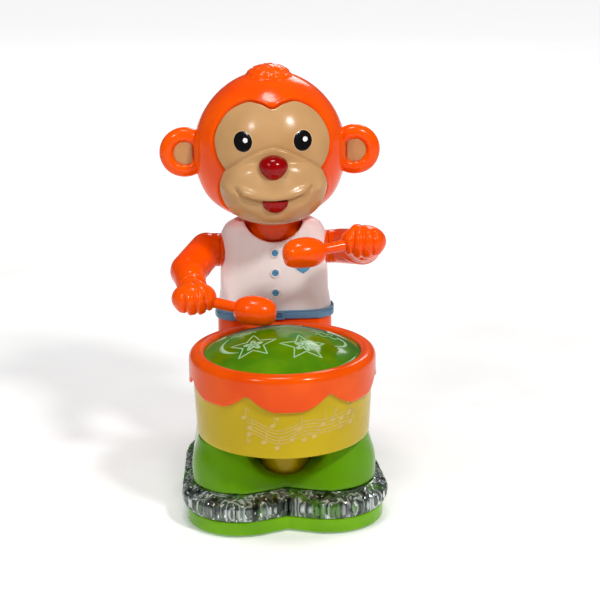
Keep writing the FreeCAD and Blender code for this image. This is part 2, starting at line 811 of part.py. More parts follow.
def arm_motor():
    can = rod_x(5.0, -19.0, -7.0, MOTOR.y, MOTOR.z)
    boss = rod_x(1.4, -7.0, -6.4, MOTOR.y, MOTOR.z)
    shaped("arm_motor", can.fuse(boss))


def motor_pinion():
    teeth = size("pinion_teeth")
    turn = bearing_angle(MOTOR, STEP)
    pinion = gear(teeth, size("motor_module"), -4.4, -1.3, MOTOR.y, MOTOR.z, turn)
    shaft = rod_x(0.75, -6.3, -1.0, MOTOR.y, MOTOR.z)
    shaped("motor_pinion", pinion.fuse(shaft))


def reduction_gear():
    """Large gear driven by the pinion, with the small one that drives the cam shaft."""
    large_teeth = size("wheel_teeth")
    large_turn = bearing_angle(STEP, MOTOR) + gap_angle(large_teeth)
    large = gear(large_teeth, size("motor_module"), -4.2, -1.7, STEP.y, STEP.z, large_turn)
    small = gear(size("step_teeth"), size("cam_module"), -1.7, 3.4, STEP.y, STEP.z, bearing_angle(STEP, CAM))
    shaft = rod_x(1.0, -7.4, 7.4, STEP.y, STEP.z)
    shaped("reduction_gear", large.fuse(small).fuse(shaft))


def lift(turn):
    """Angle that an arm is raised by when its cam has turned this far."""
    return size("swing") * (1 - abs(turn - 180.0) / 180.0)


def pad_in_cam(turn):
    """Centre of the lever's pad, as seen by the turning cam."""
    raised = math.radians(lift(turn % 360.0))
    reach = size("lever_arm")
    y = size("shoulder_y") - reach * math.sin(raised) - CAM.y
    z = size("shoulder_z") - reach * math.cos(raised) - CAM.z
    back = math.radians(-turn)
    return V(0, y * math.cos(back) - z * math.sin(back), y * math.sin(back) + z * math.cos(back))


def cam_disc(x0, x1, phase):
    """Heart cam: it lifts its arm evenly over half a turn and lets it down over the other."""
    rims = []
    offset = size("pad_radius") + 0.2
    for number in range(36):
        turn = number * 10.0
        here = pad_in_cam(turn)
        along = pad_in_cam(turn + 2.0) - pad_in_cam(turn - 2.0)
        inward = V(0, -along.z, along.y)
        inward.normalize()
        if inward.dot(here) > 0:
            inward = inward * -1
        rims.append(here + inward * offset)
    curve = Part.BSplineCurve()
    curve.interpolate(rims, PeriodicFlag=True)
    disc = Part.Face(Part.Wire(curve.toShape())).extrude(V(x1 - x0, 0, 0))
    disc.rotate(V(0, 0, 0), X_AXIS, phase)
    disc.translate(V(x0, CAM.y, CAM.z))
    return disc


def cam_shaft():
    """Shaft through the frame that carries the gear and a cam for each arm, half a turn apart."""
    radius = size("axle_radius")
    shaft = rod_x(radius, -12.0, 12.0, CAM.y, CAM.z)
    shaped("cam_shaft", shaft)
    bore = rod_x(radius, -13, 13, CAM.y, CAM.z)
    teeth = size("cam_teeth")
    turn = bearing_angle(CAM, STEP) + gap_angle(teeth)
    shaped("cam_gear", gear(teeth, size("cam_module"), 0.2, 3.2, CAM.y, CAM.z, turn).cut(bore))
    shaped("right_cam", cam_disc(-12.0, -8.6, 0).cut(bore))
    shaped("left_cam", cam_disc(8.6, 12.0, 180).cut(bore))


# ---------------------------------------------------------------- arms


ELBOW = V(45.3, 21.5, 117.0)
WRIST = V(43.6, 6.0, 111.6)
FIST = V(43.0, -3.4, 109.6)
MALLET = V(12.3, -7.4, 102.6)


def arm_solid():
    """Left arm, hanging over the drum: sleeve, forearm and closed fist."""
    radius = size("arm_radius")
    shoulder = V(size("shoulder_x") + 6.5, size("shoulder_y"), size("shoulder_z"))
    root = V(size("shoulder_x"), shoulder.y, shoulder.z)
    arm = rod(radius - 0.4, root, shoulder)
    arm = arm.fuse(Part.makeSphere(radius, shoulder))
    arm = arm.fuse(taper(radius, 9.4, shoulder, ELBOW))
    arm = arm.fuse(Part.makeSphere(9.4, ELBOW))
    arm = arm.fuse(taper(9.4, 6.6, ELBOW, WRIST))
    arm = arm.fuse(Part.makeSphere(6.6, WRIST))
    arm = arm.fuse(ellipsoid(FIST, 11.5, 8.6, 8.4))
    arm = arm.cut(block(0, size("shoulder_x"), -60, 90, 60, 180))
    return arm


def stick_ends():
    along = MALLET - FIST
    along.normalize()
    return FIST - along * 9.0, MALLET - along * 4.0


def arm_pieces():
    """Left arm's two shells: a solid split along its mid-plane, bored for the drumstick."""
    arm = arm_solid()
    start, end = stick_ends()
    arm = arm.cut(rod(2.75, FIST + (start - FIST) * 1.02, end))
    shoulder = V(size("shoulder_x"), size("shoulder_y"), size("shoulder_z"))
    normal = (ELBOW - shoulder).cross(FIST - ELBOW)
    normal.normalize()
    if normal.z < 0:
        normal = normal * -1
    upper_space = Part.makeBox(160, 160, 80, V(-80, -80, 0))
    upper_space.Placement = FreeCAD.Placement(ELBOW, FreeCAD.Rotation(Z_AXIS, normal))
    return arm.common(upper_space), arm.cut(upper_space)


def mallet_solid():
    start, end = stick_ends()
    stick = rod(2.65, start, end)
    head = ellipsoid(V(0, 0, 0), 11.2, 8.0, 8.0)
    head.rotate(V(0, 0, 0), Z_AXIS, math.degrees(math.atan2(FIST.y - MALLET.y, FIST.x - MALLET.x)))
    head.translate(MALLET)
    head = head.cut(block(-40, 80, -60, 60, 80, MALLET.z - 6.2))
    return stick.fuse(head)


def lever_solid():
    """Left lever: shaft through the vest's side, plate, and the pin that rides the cam."""
    y = size("shoulder_y")
    z = size("shoulder_z")
    pad_z = z - size("lever_arm")
    shaft = rod_x(size("lever_shaft_radius"), 12.6, size("shoulder_x"), y, z)
    plate = rod_x(5.0, 12.6, 15.0, y, z).fuse(rod_x(3.0, 12.6, 15.0, y, pad_z))
    plate = plate.fuse(block(12.6, 15.0, y - 3.0, y + 3.0, pad_z, z))
    pad = rod_x(size("pad_radius"), 8.7, 12.6, y, pad_z)
    return shaft.fuse(plate).fuse(pad)


def raised(shape):
    """The shape with its arm lifted about the shoulder axis."""
    copy = shape.copy()
    copy.rotate(V(0, size("shoulder_y"), size("shoulder_z")), X_AXIS, -size("swing"))
    return copy


def arms():
    upper, lower = arm_pieces()
    pieces = {"arm_upper": upper, "arm_lower": lower, "mallet": mallet_solid(), "lever": lever_solid()}
    for name, solid in pieces.items():
        shaped("right_" + name, mirrored(solid))
        shaped("left_" + name, raised(solid))


# ---------------------------------------------------------------- head, built round its own centre


HEAD = V(0, size("head_y"), size("head_z"))
HEAD_TURN = FreeCAD.Rotation(Z_AXIS, size("head_turn"))


def head_piece(label, shape):
    """Places a head sub-part, turned with the head about the neck."""
    pivot = V(0, size("neck_y"), 0)
    base = pivot + HEAD_TURN.multVec(HEAD - pivot)
    shaped(label, shape, base, HEAD_TURN)


def skull(grow):
    return ellipsoid(V(0, 0, 0), size("head_half_width") + grow, size("head_half_depth") + grow,
                     size("head_half_height") + grow)


MUZZLE = V(0, -20.0, -15.0)


def muzzle(grow):
    return ellipsoid(MUZZLE, 28.6 + grow, 23.5 + grow, 21.0 + grow)


def face_outline():
    """Heart-shaped brow over a round muzzle, right half then mirrored."""
    brow = [(0, 26.0), (6.2, 28.2), (13.2, 28.6), (22.6, 23.2), (28.6, 13.0), (28.2, 3.0), (23.9, -5.0)]
    jaw = [(23.9, -5.0), (27.0, -11.5), (27.0, -19.0), (22.8, -27.5), (13.2, -34.5), (0, -37.0)]
    edges = []
    for side in (1, -1):
        for run in (brow, jaw):
            curve = Part.BSplineCurve()
            curve.interpolate([V(side * x, 0, z) for x, z in run])
            edges.append(curve.toShape())
    return Part.Wire(Part.sortEdges(edges)[0])


def face_prism():
    return Part.Face(face_outline()).extrude(V(0, -60, 0))


def nose_solid():
    return ellipsoid(V(0, -38.6, -0.9), 7.25, 6.2, 6.4)


def tongue_solid():
    drop = ellipsoid(V(0, -40.2, -18.0), 7.6, 4.2, 6.8)
    return drop.common(block(-10, 10, -60, 0, -40, -18.0))


def ear_parts(side):
    """Cup-shaped ear and the pad in its hollow."""
    centre = V(side * size("ear_x"), 0, size("ear_lift"))
    radius = size("ear_radius")
    disc = rod(radius, centre + V(0, -4.2, 0), centre + V(0, 4.2, 0))
    disc = disc.makeFillet(3.4, [e for e in disc.Edges if abs(e.Length - 2 * math.pi * radius) < 0.1])
    hollow_at = centre + V(-side * 0.4, 0, 0)
    hollow = rod(6.2, hollow_at + V(0, -6, 0), hollow_at + V(0, -2.2, 0))
    pad = rod(5.9, hollow_at + V(0, -3.4, 0), hollow_at + V(0, -2.2, 0))
    return disc.cut(hollow).cut(skull(0)), pad.cut(skull(0.1))


def head():
    shell = skull(0).cut(skull(-size("head_wall")))
    prism = face_prism()
    recess = prism.cut(skull(-1.2))
    front_half = block(-60, 60, -60, 0, -60, 60)
    head_front = shell.common(front_half).cut(recess)
    pin = V(0, size("neck_y") - HEAD.y, -50)
    pin_hole = Part.makeCylinder(size("neck_pin_radius") + 0.05, 30, pin)
    head_piece("head_front", head_front.cut(pin_hole))
    head_piece("head_back", shell.cut(front_half).cut(pin_hole))
    plate = prism.common(skull(0.8).fuse(muzzle(0))).cut(skull(-1.2))
    nose = nose_solid().cut(muzzle(-1.5)).cut(skull(-1.2))
    tongue = tongue_solid().cut(muzzle(-1.5))
    head_piece("face_plate", plate.cut(nose).cut(tongue))
    head_piece("nose", nose)
    head_piece("tongue", tongue)
    pads = []
    for name, side in (("left", 1), ("right", -1)):
        ear, pad = ear_parts(side)
        head_piece("ear_" + name, ear)
        pads.append(pad)
    head_piece("ear_pads", Part.makeCompound(pads))
    tuft = ellipsoid(V(0, 1.5, 35.4), 12.3, 11.5, 9.0)
    head_piece("hair_tuft", tuft.cut(skull(0)))
    below_plate = V(pin.x, pin.y, size("neck_top - wall") - HEAD.z)
    post = Part.makeCylinder(size("neck_pin_radius"), 11.0, below_plate - V(0, 0, 4.0))
    flange = Part.makeCylinder(5.5, 1.6, below_plate - V(0, 0, 2.0))
    anchor = Part.makeCylinder(9.0, 2.2, below_plate + V(0, 0, 6.0)).common(skull(-size("head_wall") - 0.1))
    head_piece("neck_post", post.fuse(flange).fuse(anchor))


# ---------------------------------------------------------------- build, check and write

base_tray()
light_ring()
base_cover()
case_screws()
base_lamps()
drive_gearbox()
drive_motor()
turntable()
drive_wheels()
rollers()
switch()
circuit_board()
drum_shell()
drum_rim()
drum_dome()
drum_insides()
trousers()
belt()
battery_box()
vest()
neck()
gear_frame()
arm_motor()
motor_pinion()
reduction_gear()
cam_shaft()
arms()
head()

doc.recompute()

for item in doc.Objects:
    if "Invalid" in item.State or "Error" in item.State:
        raise SystemExit(f"{item.Label} failed: {item.State}")
for piece in nodes:
    if piece.Shape.isNull() or not piece.Shape.isValid():
        raise SystemExit(f"{piece.Label} has no valid shape")
    if not piece.Shape.Solids:
        raise SystemExit(f"{piece.Label} has no solid")

for piece in nodes:
    piece.Shape.exportStep(os.path.join("parts", piece.Label + ".step"))
print(len(nodes), "nodes written")
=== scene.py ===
import math

import bmesh
import bpy
import numpy as np
from mathutils import Matrix, Vector


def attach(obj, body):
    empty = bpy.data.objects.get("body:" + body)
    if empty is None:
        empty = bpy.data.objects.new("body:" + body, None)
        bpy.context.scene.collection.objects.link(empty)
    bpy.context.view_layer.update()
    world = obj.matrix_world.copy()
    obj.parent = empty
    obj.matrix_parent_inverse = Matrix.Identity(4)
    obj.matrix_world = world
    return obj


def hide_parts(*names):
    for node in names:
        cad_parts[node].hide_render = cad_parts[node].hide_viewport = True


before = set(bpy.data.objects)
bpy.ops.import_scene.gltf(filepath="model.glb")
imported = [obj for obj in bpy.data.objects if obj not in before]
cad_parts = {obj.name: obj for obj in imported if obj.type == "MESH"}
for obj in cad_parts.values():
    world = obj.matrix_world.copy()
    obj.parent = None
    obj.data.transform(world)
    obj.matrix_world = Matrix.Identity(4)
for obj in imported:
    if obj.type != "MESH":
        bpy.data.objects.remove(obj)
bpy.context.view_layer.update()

MM = 0.001

# ---------------------------------------------------------------- measures of the object (mm, degrees)

DRUM = Vector((0.0, -22.0, 0.0))
RIM_RADIUS, RIM_INNER, RIM_OPENING = 46.8, 45.2, 39.0
RIM_LOW, RIM_SHOULDER, RIM_TOP, RIM_LOBES, RIM_RISE = 70.0, 84.0, 88.0, 7, 7.6
DOME_APEX, DOME_RADIUS, DOME_EDGE = 96.0, 81.0, 86.0
SEAM_Y = 36.5
SHOULDER_Y, SHOULDER_Z, SWING = 36.5, 124.0, 37.0
ELBOW = Vector((45.3, 21.5, 117.0))
WRIST = Vector((43.6, 6.0, 111.6))
FIST = Vector((43.0, -3.4, 109.6))
MALLET = Vector((12.3, -7.4, 102.6))
MALLET_FOOT = 96.0
HEAD = Vector((0.0, 34.0, 177.1))
HEAD_RADII = (37.9, 34.8, 39.6)
HEAD_TURN, NECK_Y = -2.5, 38.0
MUZZLE, MUZZLE_RADII = Vector((0.0, -20.0, -15.0)), (28.6, 23.5, 21.0)

# ---------------------------------------------------------------- mesh helpers


def build(name, points, faces):
    """An object from millimetre points."""
    mesh = bpy.data.meshes.new(name)
    mesh.from_pydata([tuple(Vector(p) * MM) for p in points], [], faces)
    mesh.validate()
    obj = bpy.data.objects.new(name, mesh)
    bpy.context.scene.collection.objects.link(obj)
    outward(obj)
    return obj


def outward(obj):
    """Merges doubled points, turns all faces outwards and shades them smooth."""
    bm = bmesh.new()
    bm.from_mesh(obj.data)
    bmesh.ops.remove_doubles(bm, verts=bm.verts, dist=1e-6)
    bmesh.ops.recalc_face_normals(bm, faces=bm.faces)
    for face in bm.faces:
        face.smooth = True
    bm.to_mesh(obj.data)
    bm.free()
    obj.data.update()


def tube_faces(rows, columns, ring=True, loop=False):
    """Quads of a grid: ring joins each row to a loop, loop joins the last row to the first."""
    faces = []
    for r in range(rows if loop else rows - 1):
        below, above = r * columns, (r + 1) % rows * columns
        for c in range(columns if ring else columns - 1):
            n = (c + 1) % columns
            faces.append((below + c, below + n, above + n, above + c))
    return faces


def loft(name, rings, caps="both", loop=False):
    """A mesh through rings of equal length. Caps are fans round each end's middle."""
    columns = len(rings[0])
    points = [Vector(p) for ring in rings for p in ring]
    faces = tube_faces(len(rings), columns, loop=loop)
    start_cap = [0] if caps in ("both", "start") else []
    end_cap = [len(rings) - 1] if caps in ("both", "end") else []
    for end in start_cap + end_cap:
        middle = sum((Vector(p) for p in rings[end]), Vector()) / columns
        points.append(middle)
        hub = len(points) - 1
        faces += [(end * columns + c, end * columns + (c + 1) % columns, hub) for c in range(columns)]
    return build(name, points, faces)


def lathe(name, profile, centre, columns=96, loop=True, axis="Z"):
    """A body of revolution of (radius, height) pairs."""
    rings = []
    for radius, height in profile:
        ring = []
        for c in range(columns):
            a = 2 * math.pi * c / columns
            x, y = radius * math.cos(a), radius * math.sin(a)
            spot = {"X": (height, x, y), "Y": (x, height, y), "Z": (x, y, height)}[axis]
            ring.append(Vector(centre) + Vector(spot))
        rings.append(ring)
    return loft(name, rings, caps="none" if loop else "both", loop=loop)


def rounded(corners, radius, steps=4, closed=True):
    """A flat path with its corners rounded."""
    path = []
    count = len(corners)
    for i, corner in enumerate(corners):
        here = Vector(corner)
        if not closed and i in (0, count - 1):
            path.append(here)
            continue
        before, after = Vector(corners[i - 1]), Vector(corners[(i + 1) % count])
        cut = min(radius, (before - here).length / 2.1, (after - here).length / 2.1)
        a = here + (before - here).normalized() * cut
        b = here + (after - here).normalized() * cut
        for s in range(steps + 1):
            t = s / steps
            path.append(a * (1 - t) ** 2 + here * 2 * t * (1 - t) + b * t ** 2)
    return path


def melted(name, nodes, voxel, soften=6):
    """A new mesh that follows CAD nodes, joined in one skin with softly rounded edges."""
    bm = bmesh.new()
    for node in nodes:
        bm.from_mesh(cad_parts[node].data)
    bmesh.ops.remove_doubles(bm, verts=bm.verts, dist=2e-6)
    mesh = bpy.data.meshes.new(name)
    bm.to_mesh(mesh)
    bm.free()
    mesh.materials.clear()
    obj = bpy.data.objects.new(name, mesh)
    bpy.context.scene.collection.objects.link(obj)
    remesh = obj.modifiers.new("skin", "REMESH")
    remesh.mode = "VOXEL"
    remesh.voxel_size = voxel * MM
    remesh.use_smooth_shade = True
    smooth = obj.modifiers.new("soften", "SMOOTH")
    smooth.factor = 0.5
    smooth.iterations = soften
    applied(obj)
    return obj


def applied(obj):
    """Replaces the mesh by what its modifiers make of it."""
    depsgraph = bpy.context.evaluated_depsgraph_get()
    mesh = bpy.data.meshes.new_from_object(obj.evaluated_get(depsgraph))
    obj.modifiers.clear()
    obj.data = mesh
    for polygon in mesh.polygons:
        polygon.use_smooth = True
    return obj


def coords(obj):
    """Points and normals of a mesh in millimetres, as arrays."""
    mesh = obj.data
    co = np.zeros(len(mesh.vertices) * 3)
    mesh.vertices.foreach_get("co", co)
    no = np.zeros(len(mesh.vertices) * 3)
    mesh.vertices.foreach_get("normal", no)
    return co.reshape(-1, 3) / MM, no.reshape(-1, 3)


def set_coords(obj, co):
    obj.data.vertices.foreach_set("co", (co * MM).ravel())
    obj.data.update()


def raise_by(obj, height):
    """Moves each point along its normal by height(points, normals) millimetres."""
    co, no = coords(obj)
    set_coords(obj, co + no * height(co, no)[:, None])


def bump(distance, width):
    return np.exp(-(distance / width) ** 2)


def ease(value, low, high):
    t = np.clip((value - low) / (high - low), 0, 1)
    return t * t * (3 - 2 * t)


def moved(obj, matrix):
    obj.data.transform(matrix)
    obj.data.update()
    return obj


def shift(vector):
    return Matrix.Translation(Vector(vector) * MM)


def about(point, angle, axis):
    """Turn about a point given in millimetres."""
    return shift(point) @ Matrix.Rotation(math.radians(angle), 4, axis) @ shift(-Vector(point))


def mirrored_x(obj):
    moved(obj, Matrix.Scale(-1, 4, Vector((1, 0, 0))))
    obj.data.flip_normals()
    return obj


def joined(name, parts):
    """One object from several, each keeping its material."""
    bm = bmesh.new()
    mesh = bpy.data.meshes.new(name)
    for part in parts:
        slot = len(mesh.materials)
        known = [m.name for m in mesh.materials]
        material = part.data.materials[0] if part.data.materials else None
        if material is not None and material.name in known:
            slot = known.index(material.name)
        elif material is not None:
            mesh.materials.append(material)
        start = len(bm.faces)
        bm.from_mesh(part.data)
        bm.faces.ensure_lookup_table()
        for face in bm.faces[start:]:
            face.material_index = slot
            face.smooth = True
    bm.to_mesh(mesh)
    bm.free()
    for part in parts:
        bpy.data.objects.remove(part)
    obj = bpy.data.objects.new(name, mesh)
    bpy.context.scene.collection.objects.link(obj)
    return obj


def strip(name, path, width, lift_point, thick=0.12):
    """A raised printed line: a ribbon along (u, v) points, put on a surface by lift_point(u, v, height)."""
    points = []
    count = len(path)
    for i, p in enumerate(path):
        before, after = Vector(path[max(i - 1, 0)]), Vector(path[min(i + 1, count - 1)])
        along = (after - before).normalized()
        wide = width[i] if isinstance(width, list) else width
        across = Vector((-along.y, along.x)) * wide / 2
        a, b = Vector(p) - across, Vector(p) + across
        points += [lift_point(a.x, a.y, -0.1), lift_point(a.x, a.y, thick),
                   lift_point(b.x, b.y, thick), lift_point(b.x, b.y, -0.1)]
    faces = tube_faces(count, 4)
    faces += [(0, 1, 2, 3), tuple(range(4 * count - 4, 4 * count))]
    return build(name, points, faces)


def patch(name, outline, lift_point, low=-0.1, high=0.15, rings=3):
    """A thin raised patch with an outline of (u, v) points, laid on a surface."""
    middle = sum((Vector(p) for p in outline), Vector((0, 0))) / len(outline)
    levels = [(1.0, low), (1.0, high - 0.05)] + [(1.0 - 0.98 * k / rings, high) for k in range(rings)]
    levels[2] = (0.97, high)
    rows = []
    for share, height in levels:
        rows.append([lift_point(*(middle + (Vector(p) - middle) * share), height) for p in outline])
    return loft(name, rows, caps="both")


# ---------------------------------------------------------------- materials


def tone(r, g, b):
    """A colour from 0-255 display values."""
    linear = [v / 255 / 12.92 if v <= 10 else ((v / 255 + 0.055) / 1.055) ** 2.4 for v in (r, g, b)]
    return tuple(linear) + (1.0,)


class Nodes:
    """Short names for building a material's nodes."""

    def __init__(self, name):
        self.material = bpy.data.materials.new(name)
        self.material.use_nodes = True
        self.tree = self.material.node_tree
        self.shader = self.tree.nodes["Principled BSDF"]
        self.place = self.add("ShaderNodeTexCoord").outputs["Object"]

    def add(self, kind, inputs=(), **settings):
        node = self.tree.nodes.new(kind)
        for key, value in settings.items():
            setattr(node, key, value)
        for key, value in dict(inputs).items():
            self.feed(node.inputs[key], value)
        return node

    def feed(self, socket, value):
        if isinstance(value, bpy.types.NodeSocket):
            self.tree.links.new(value, socket)
        else:
            socket.default_value = value

    def noise(self, per_mm, detail=3.0, rough=0.5, stretch=(1, 1, 1)):
        """Noise with a given number of cells per millimetre."""
        mapping = self.add("ShaderNodeMapping", {"Vector": self.place, "Scale": stretch})
        return self.add("ShaderNodeTexNoise", {
            "Vector": mapping.outputs[0], "Scale": per_mm * 1000, "Detail": detail, "Roughness": rough,
        }).outputs["Fac"]

    def ramp(self, value, stops):
        node = self.add("ShaderNodeValToRGB", {"Fac": value})
        elements = node.color_ramp.elements
        while len(elements) < len(stops):
            elements.new(0.5)
        for element, (place, colour) in zip(elements, stops):
            element.position = place
            element.color = colour
        return node.outputs["Color"]

    def span(self, value, low, high, out_low, out_high):
        return self.add("ShaderNodeMapRange", {
            "Value": value, "From Min": low, "From Max": high, "To Min": out_low, "To Max": out_high,
        }).outputs["Result"]

    def math(self, operation, a, b=0.0):
        return self.add("ShaderNodeMath", {0: a, 1: b}, operation=operation).outputs[0]

    def mix(self, share, a, b):
        node = self.add("ShaderNodeMix", data_type="RGBA")
        self.feed(node.inputs["Factor"], share)
        self.feed(node.inputs["A"], a)
        self.feed(node.inputs["B"], b)
        return node.outputs["Result"]

    def axis(self, index):
        split = self.add("ShaderNodeSeparateXYZ", {"Vector": self.place})
        return split.outputs[index]

    def relief(self, height, distance_mm, strength=1.0, normal=None):
        inputs = {"Height": height, "Distance": distance_mm * MM, "Strength": strength}
        if normal is not None:
            inputs["Normal"] = normal
        return self.add("ShaderNodeBump", inputs).outputs["Normal"]


def plastic(name, light, dark, rough=(0.16, 0.3), coat=0.5, skin=0.02, glow=0.0, specks=True):
    """Glossy moulded plastic: slow colour drift, faint flow lines, hazy handling marks and a fine skin."""
    n = Nodes(name)
    drift = n.noise(0.035, 2.0)
    base = n.ramp(drift, [(0.3, dark), (0.62, light)])
    flow = n.noise(0.12, 2.0, 0.6, (1, 1, 3.2))
    base = n.mix(n.span(flow, 0.35, 0.75, 0.0, 0.14), base, dark)
    if specks:
        dust = n.noise(1.4, 1.0, 0.5)
        base = n.mix(n.span(dust, 0.7, 0.82, 0.0, 0.22), base, tuple(c * 0.45 for c in dark[:3]) + (1,))
    n.feed(n.shader.inputs["Base Color"], base)
    haze = n.noise(0.09, 5.0, 0.65)
    n.feed(n.shader.inputs["Roughness"], n.span(haze, 0.3, 0.75, rough[0], rough[1]))
    orange_peel = n.noise(0.55, 1.0)
    grain = n.noise(3.0, 2.0)
    first = n.relief(orange_peel, skin * 2.0)
    n.feed(n.shader.inputs["Normal"], n.relief(grain, skin * 0.5, normal=first))
    n.shader.inputs["Specular IOR Level"].default_value = 0.2
    n.shader.inputs["Coat Weight"].default_value = coat
    n.shader.inputs["Coat Roughness"].default_value = 0.1
    n.shader.inputs["Coat IOR"].default_value = 1.3
    n.shader.inputs["Subsurface Weight"].default_value = glow
    n.shader.inputs["Subsurface Radius"].default_value = (0.004, 0.002, 0.001)
    n.shader.inputs["Subsurface Scale"].default_value = 1.0
    return n


def satin(name, light, dark, rough=(0.42, 0.58), skin=0.03):
    return plastic(name, light, dark, rough, coat=0.08, skin=skin)


def metal(name, light, dark, rough=(0.22, 0.42), brushed=(1, 1, 30)):
    n = Nodes(name)
    lines = n.noise(0.5, 3.0, 0.6, brushed)
    n.feed(n.shader.inputs["Base Color"], n.ramp(lines, [(0.3, dark), (0.7, light)]))
    n.feed(n.shader.inputs["Roughness"], n.span(lines, 0.3, 0.7, rough[0], rough[1]))
    n.feed(n.shader.inputs["Normal"], n.relief(lines, 0.02))
    n.shader.inputs["Metallic"].default_value = 1.0
    return n.material


def ink(name, light, dark, rough=(0.3, 0.45), gap=0.0):
    """Printed ink: slightly uneven cover with pinholes."""
    n = Nodes(name)
    pores = n.noise(2.2, 2.0)
    n.feed(n.shader.inputs["Base Color"], n.ramp(pores, [(0.35 + gap, dark), (0.6, light)]))
    n.feed(n.shader.inputs["Roughness"], n.span(pores, 0.3, 0.7, rough[0], rough[1]))
    n.feed(n.shader.inputs["Normal"], n.relief(pores, 0.015))
    return n.material


ORANGE = plastic("orange_gloss", tone(255, 90, 0), tone(250, 74, 0), (0.13, 0.22), 0.12, 0.01, 0.02).material
RIM_ORANGE = plastic("orange_drum", tone(244, 88, 0), tone(230, 70, 0), (0.13, 0.22), 0.08, 0.01,
                     0.02).material
TAN = plastic("tan_face", tone(200, 157, 108), tone(186, 141, 92), (0.17, 0.28), 0.12, 0.008, 0.02).material
TAN_PAD = plastic("tan_ear", tone(200, 148, 98), tone(182, 126, 78), (0.25, 0.36), 0.1, 0.01, 0.02).material
RED = plastic("red_gloss", tone(158, 2, 5), tone(118, 0, 2), (0.1, 0.18), 0.15, 0.006).material
VEST = plastic("pearl_white", tone(255, 250, 248), tone(250, 238, 240), (0.16, 0.28), 0.15, 0.014,
               0.04).material
BELT = plastic("steel_blue", tone(104, 150, 184), tone(70, 116, 154), (0.16, 0.28), 0.2, 0.014).material
BUTTON_BLUE = plastic("button_blue", tone(104, 172, 212), tone(66, 136, 186), (0.16, 0.28), 0.2,
                      0.01).material
LIME = plastic("lime_cover", tone(104, 164, 0), tone(94, 153, 0), (0.12, 0.22), 0.12, 0.01, 0.02).material
TRAY_LIME = plastic("lime_tray", tone(122, 186, 0), tone(102, 164, 0), (0.14, 0.24), 0.1, 0.01, 0.02).material
YELLOW = plastic("yellow_drum", tone(202, 174, 0), tone(192, 164, 0), (0.2, 0.3), 0.06, 0.01, 0.02).material
BLACK_INK = ink("eye_black", tone(12, 9, 10), tone(3, 2, 3), (0.12, 0.2))
WHITE_INK = ink("eye_white", tone(252, 252, 252), tone(226, 228, 236))
PALE_INK = ink("eye_outline", tone(226, 186, 136), tone(212, 166, 114))
MINT_INK = ink("dome_print", tone(176, 216, 172), tone(144, 196, 144))
STAFF_INK = ink("shell_print", tone(214, 186, 108), tone(200, 170, 84), gap=0.05)
GEAR_WHITE = satin("gear_acetal", tone(236, 232, 220), tone(214, 208, 192)).material
BLACK_MOULD = satin("black_mould", tone(40, 40, 42), tone(24, 24, 26)).material
RUBBER = satin("tyre_rubber", tone(36, 34, 34), tone(20, 19, 20), (0.7, 0.86), 0.08).material
STEEL = metal("steel_parts", tone(208, 208, 212), tone(150, 150, 156))
NICKEL = metal("nickel_can", tone(190, 188, 180), tone(132, 130, 124), brushed=(30, 1, 1))


def clear_ring_material():
    """Clear moulded prisms, silvered behind, with painted reflections in their colour: streaks of white,
    grey, black and reflected green, and painted white and dark glints.
    """
    n = Nodes("clear_prisms")
    # painted reflections: the streak colours stand for what the clear prisms reflect
    streak = n.noise(0.15, 1.2, 0.6, (1, 1, 0.03))
    base = n.ramp(streak, [(0.34, tone(30, 36, 32)), (0.41, tone(110, 122, 116)), (0.47, tone(60, 70, 64)),
                           (0.52, tone(214, 222, 222)), (0.57, tone(120, 134, 128)), (0.62, tone(44, 52, 46)),
                           (0.68, tone(190, 200, 196))])
    # painted reflection of the green cover in the prisms
    green = n.noise(0.09, 2.0, 0.5, (1, 1, 0.12))
    base = n.mix(n.span(green, 0.52, 0.58, 0.0, 0.85), base, tone(74, 132, 22))
    # painted glints: white highlights and dark reflections mixed into the prisms' colour
    painted_glints = n.noise(0.5, 1.0, 0.5, (1, 1, 0.35))
    base = n.mix(n.span(painted_glints, 0.66, 0.69, 0.0, 0.9), base, tone(250, 252, 252))
    base = n.mix(n.span(painted_glints, 0.36, 0.32, 0.0, 0.8), base, tone(18, 22, 20))
    n.feed(n.shader.inputs["Base Color"], base)
    n.feed(n.shader.inputs["Roughness"], n.span(streak, 0.3, 0.7, 0.05, 0.2))
    n.feed(n.shader.inputs["Metallic"], n.span(streak, 0.35, 0.7, 0.55, 0.15))
    n.shader.inputs["Transmission Weight"].default_value = 0.12
    n.shader.inputs["IOR"].default_value = 1.5
    n.shader.inputs["Coat Weight"].default_value = 0.5
    n.shader.inputs["Coat Roughness"].default_value = 0.03
    facets = n.noise(0.3, 0.0, 0.5, (1, 1, 0.15))
    n.feed(n.shader.inputs["Normal"], n.relief(facets, 0.5))
    return n.material


def dome_material():
    """Green clear lens with a cloudy tone and a painted reflection: paler, bluer green towards its back edge.
    """
    n = Nodes("green_lens")
    cloud = n.noise(0.045, 3.0, 0.55)
    base = n.ramp(cloud, [(0.3, tone(52, 112, 0)), (0.52, tone(74, 132, 0)), (0.72, tone(98, 150, 4))])
    # painted reflection: the back of the lens is mixed towards a paler, bluer green
    back = n.span(n.axis(1), -0.012, 0.018, 0.0, 0.6)
    base = n.mix(back, base, tone(56, 118, 70))
    n.feed(n.shader.inputs["Base Color"], base)
    n.feed(n.shader.inputs["Roughness"], n.span(n.noise(0.08, 4.0), 0.3, 0.7, 0.08, 0.18))
    n.shader.inputs["Transmission Weight"].default_value = 0.06
    n.shader.inputs["IOR"].default_value = 1.35
    n.shader.inputs["Coat Weight"].default_value = 0.1
    n.shader.inputs["Coat Roughness"].default_value = 0.05
    n.feed(n.shader.inputs["Normal"], n.relief(n.noise(0.3, 1.0), 0.02))
    return n.material


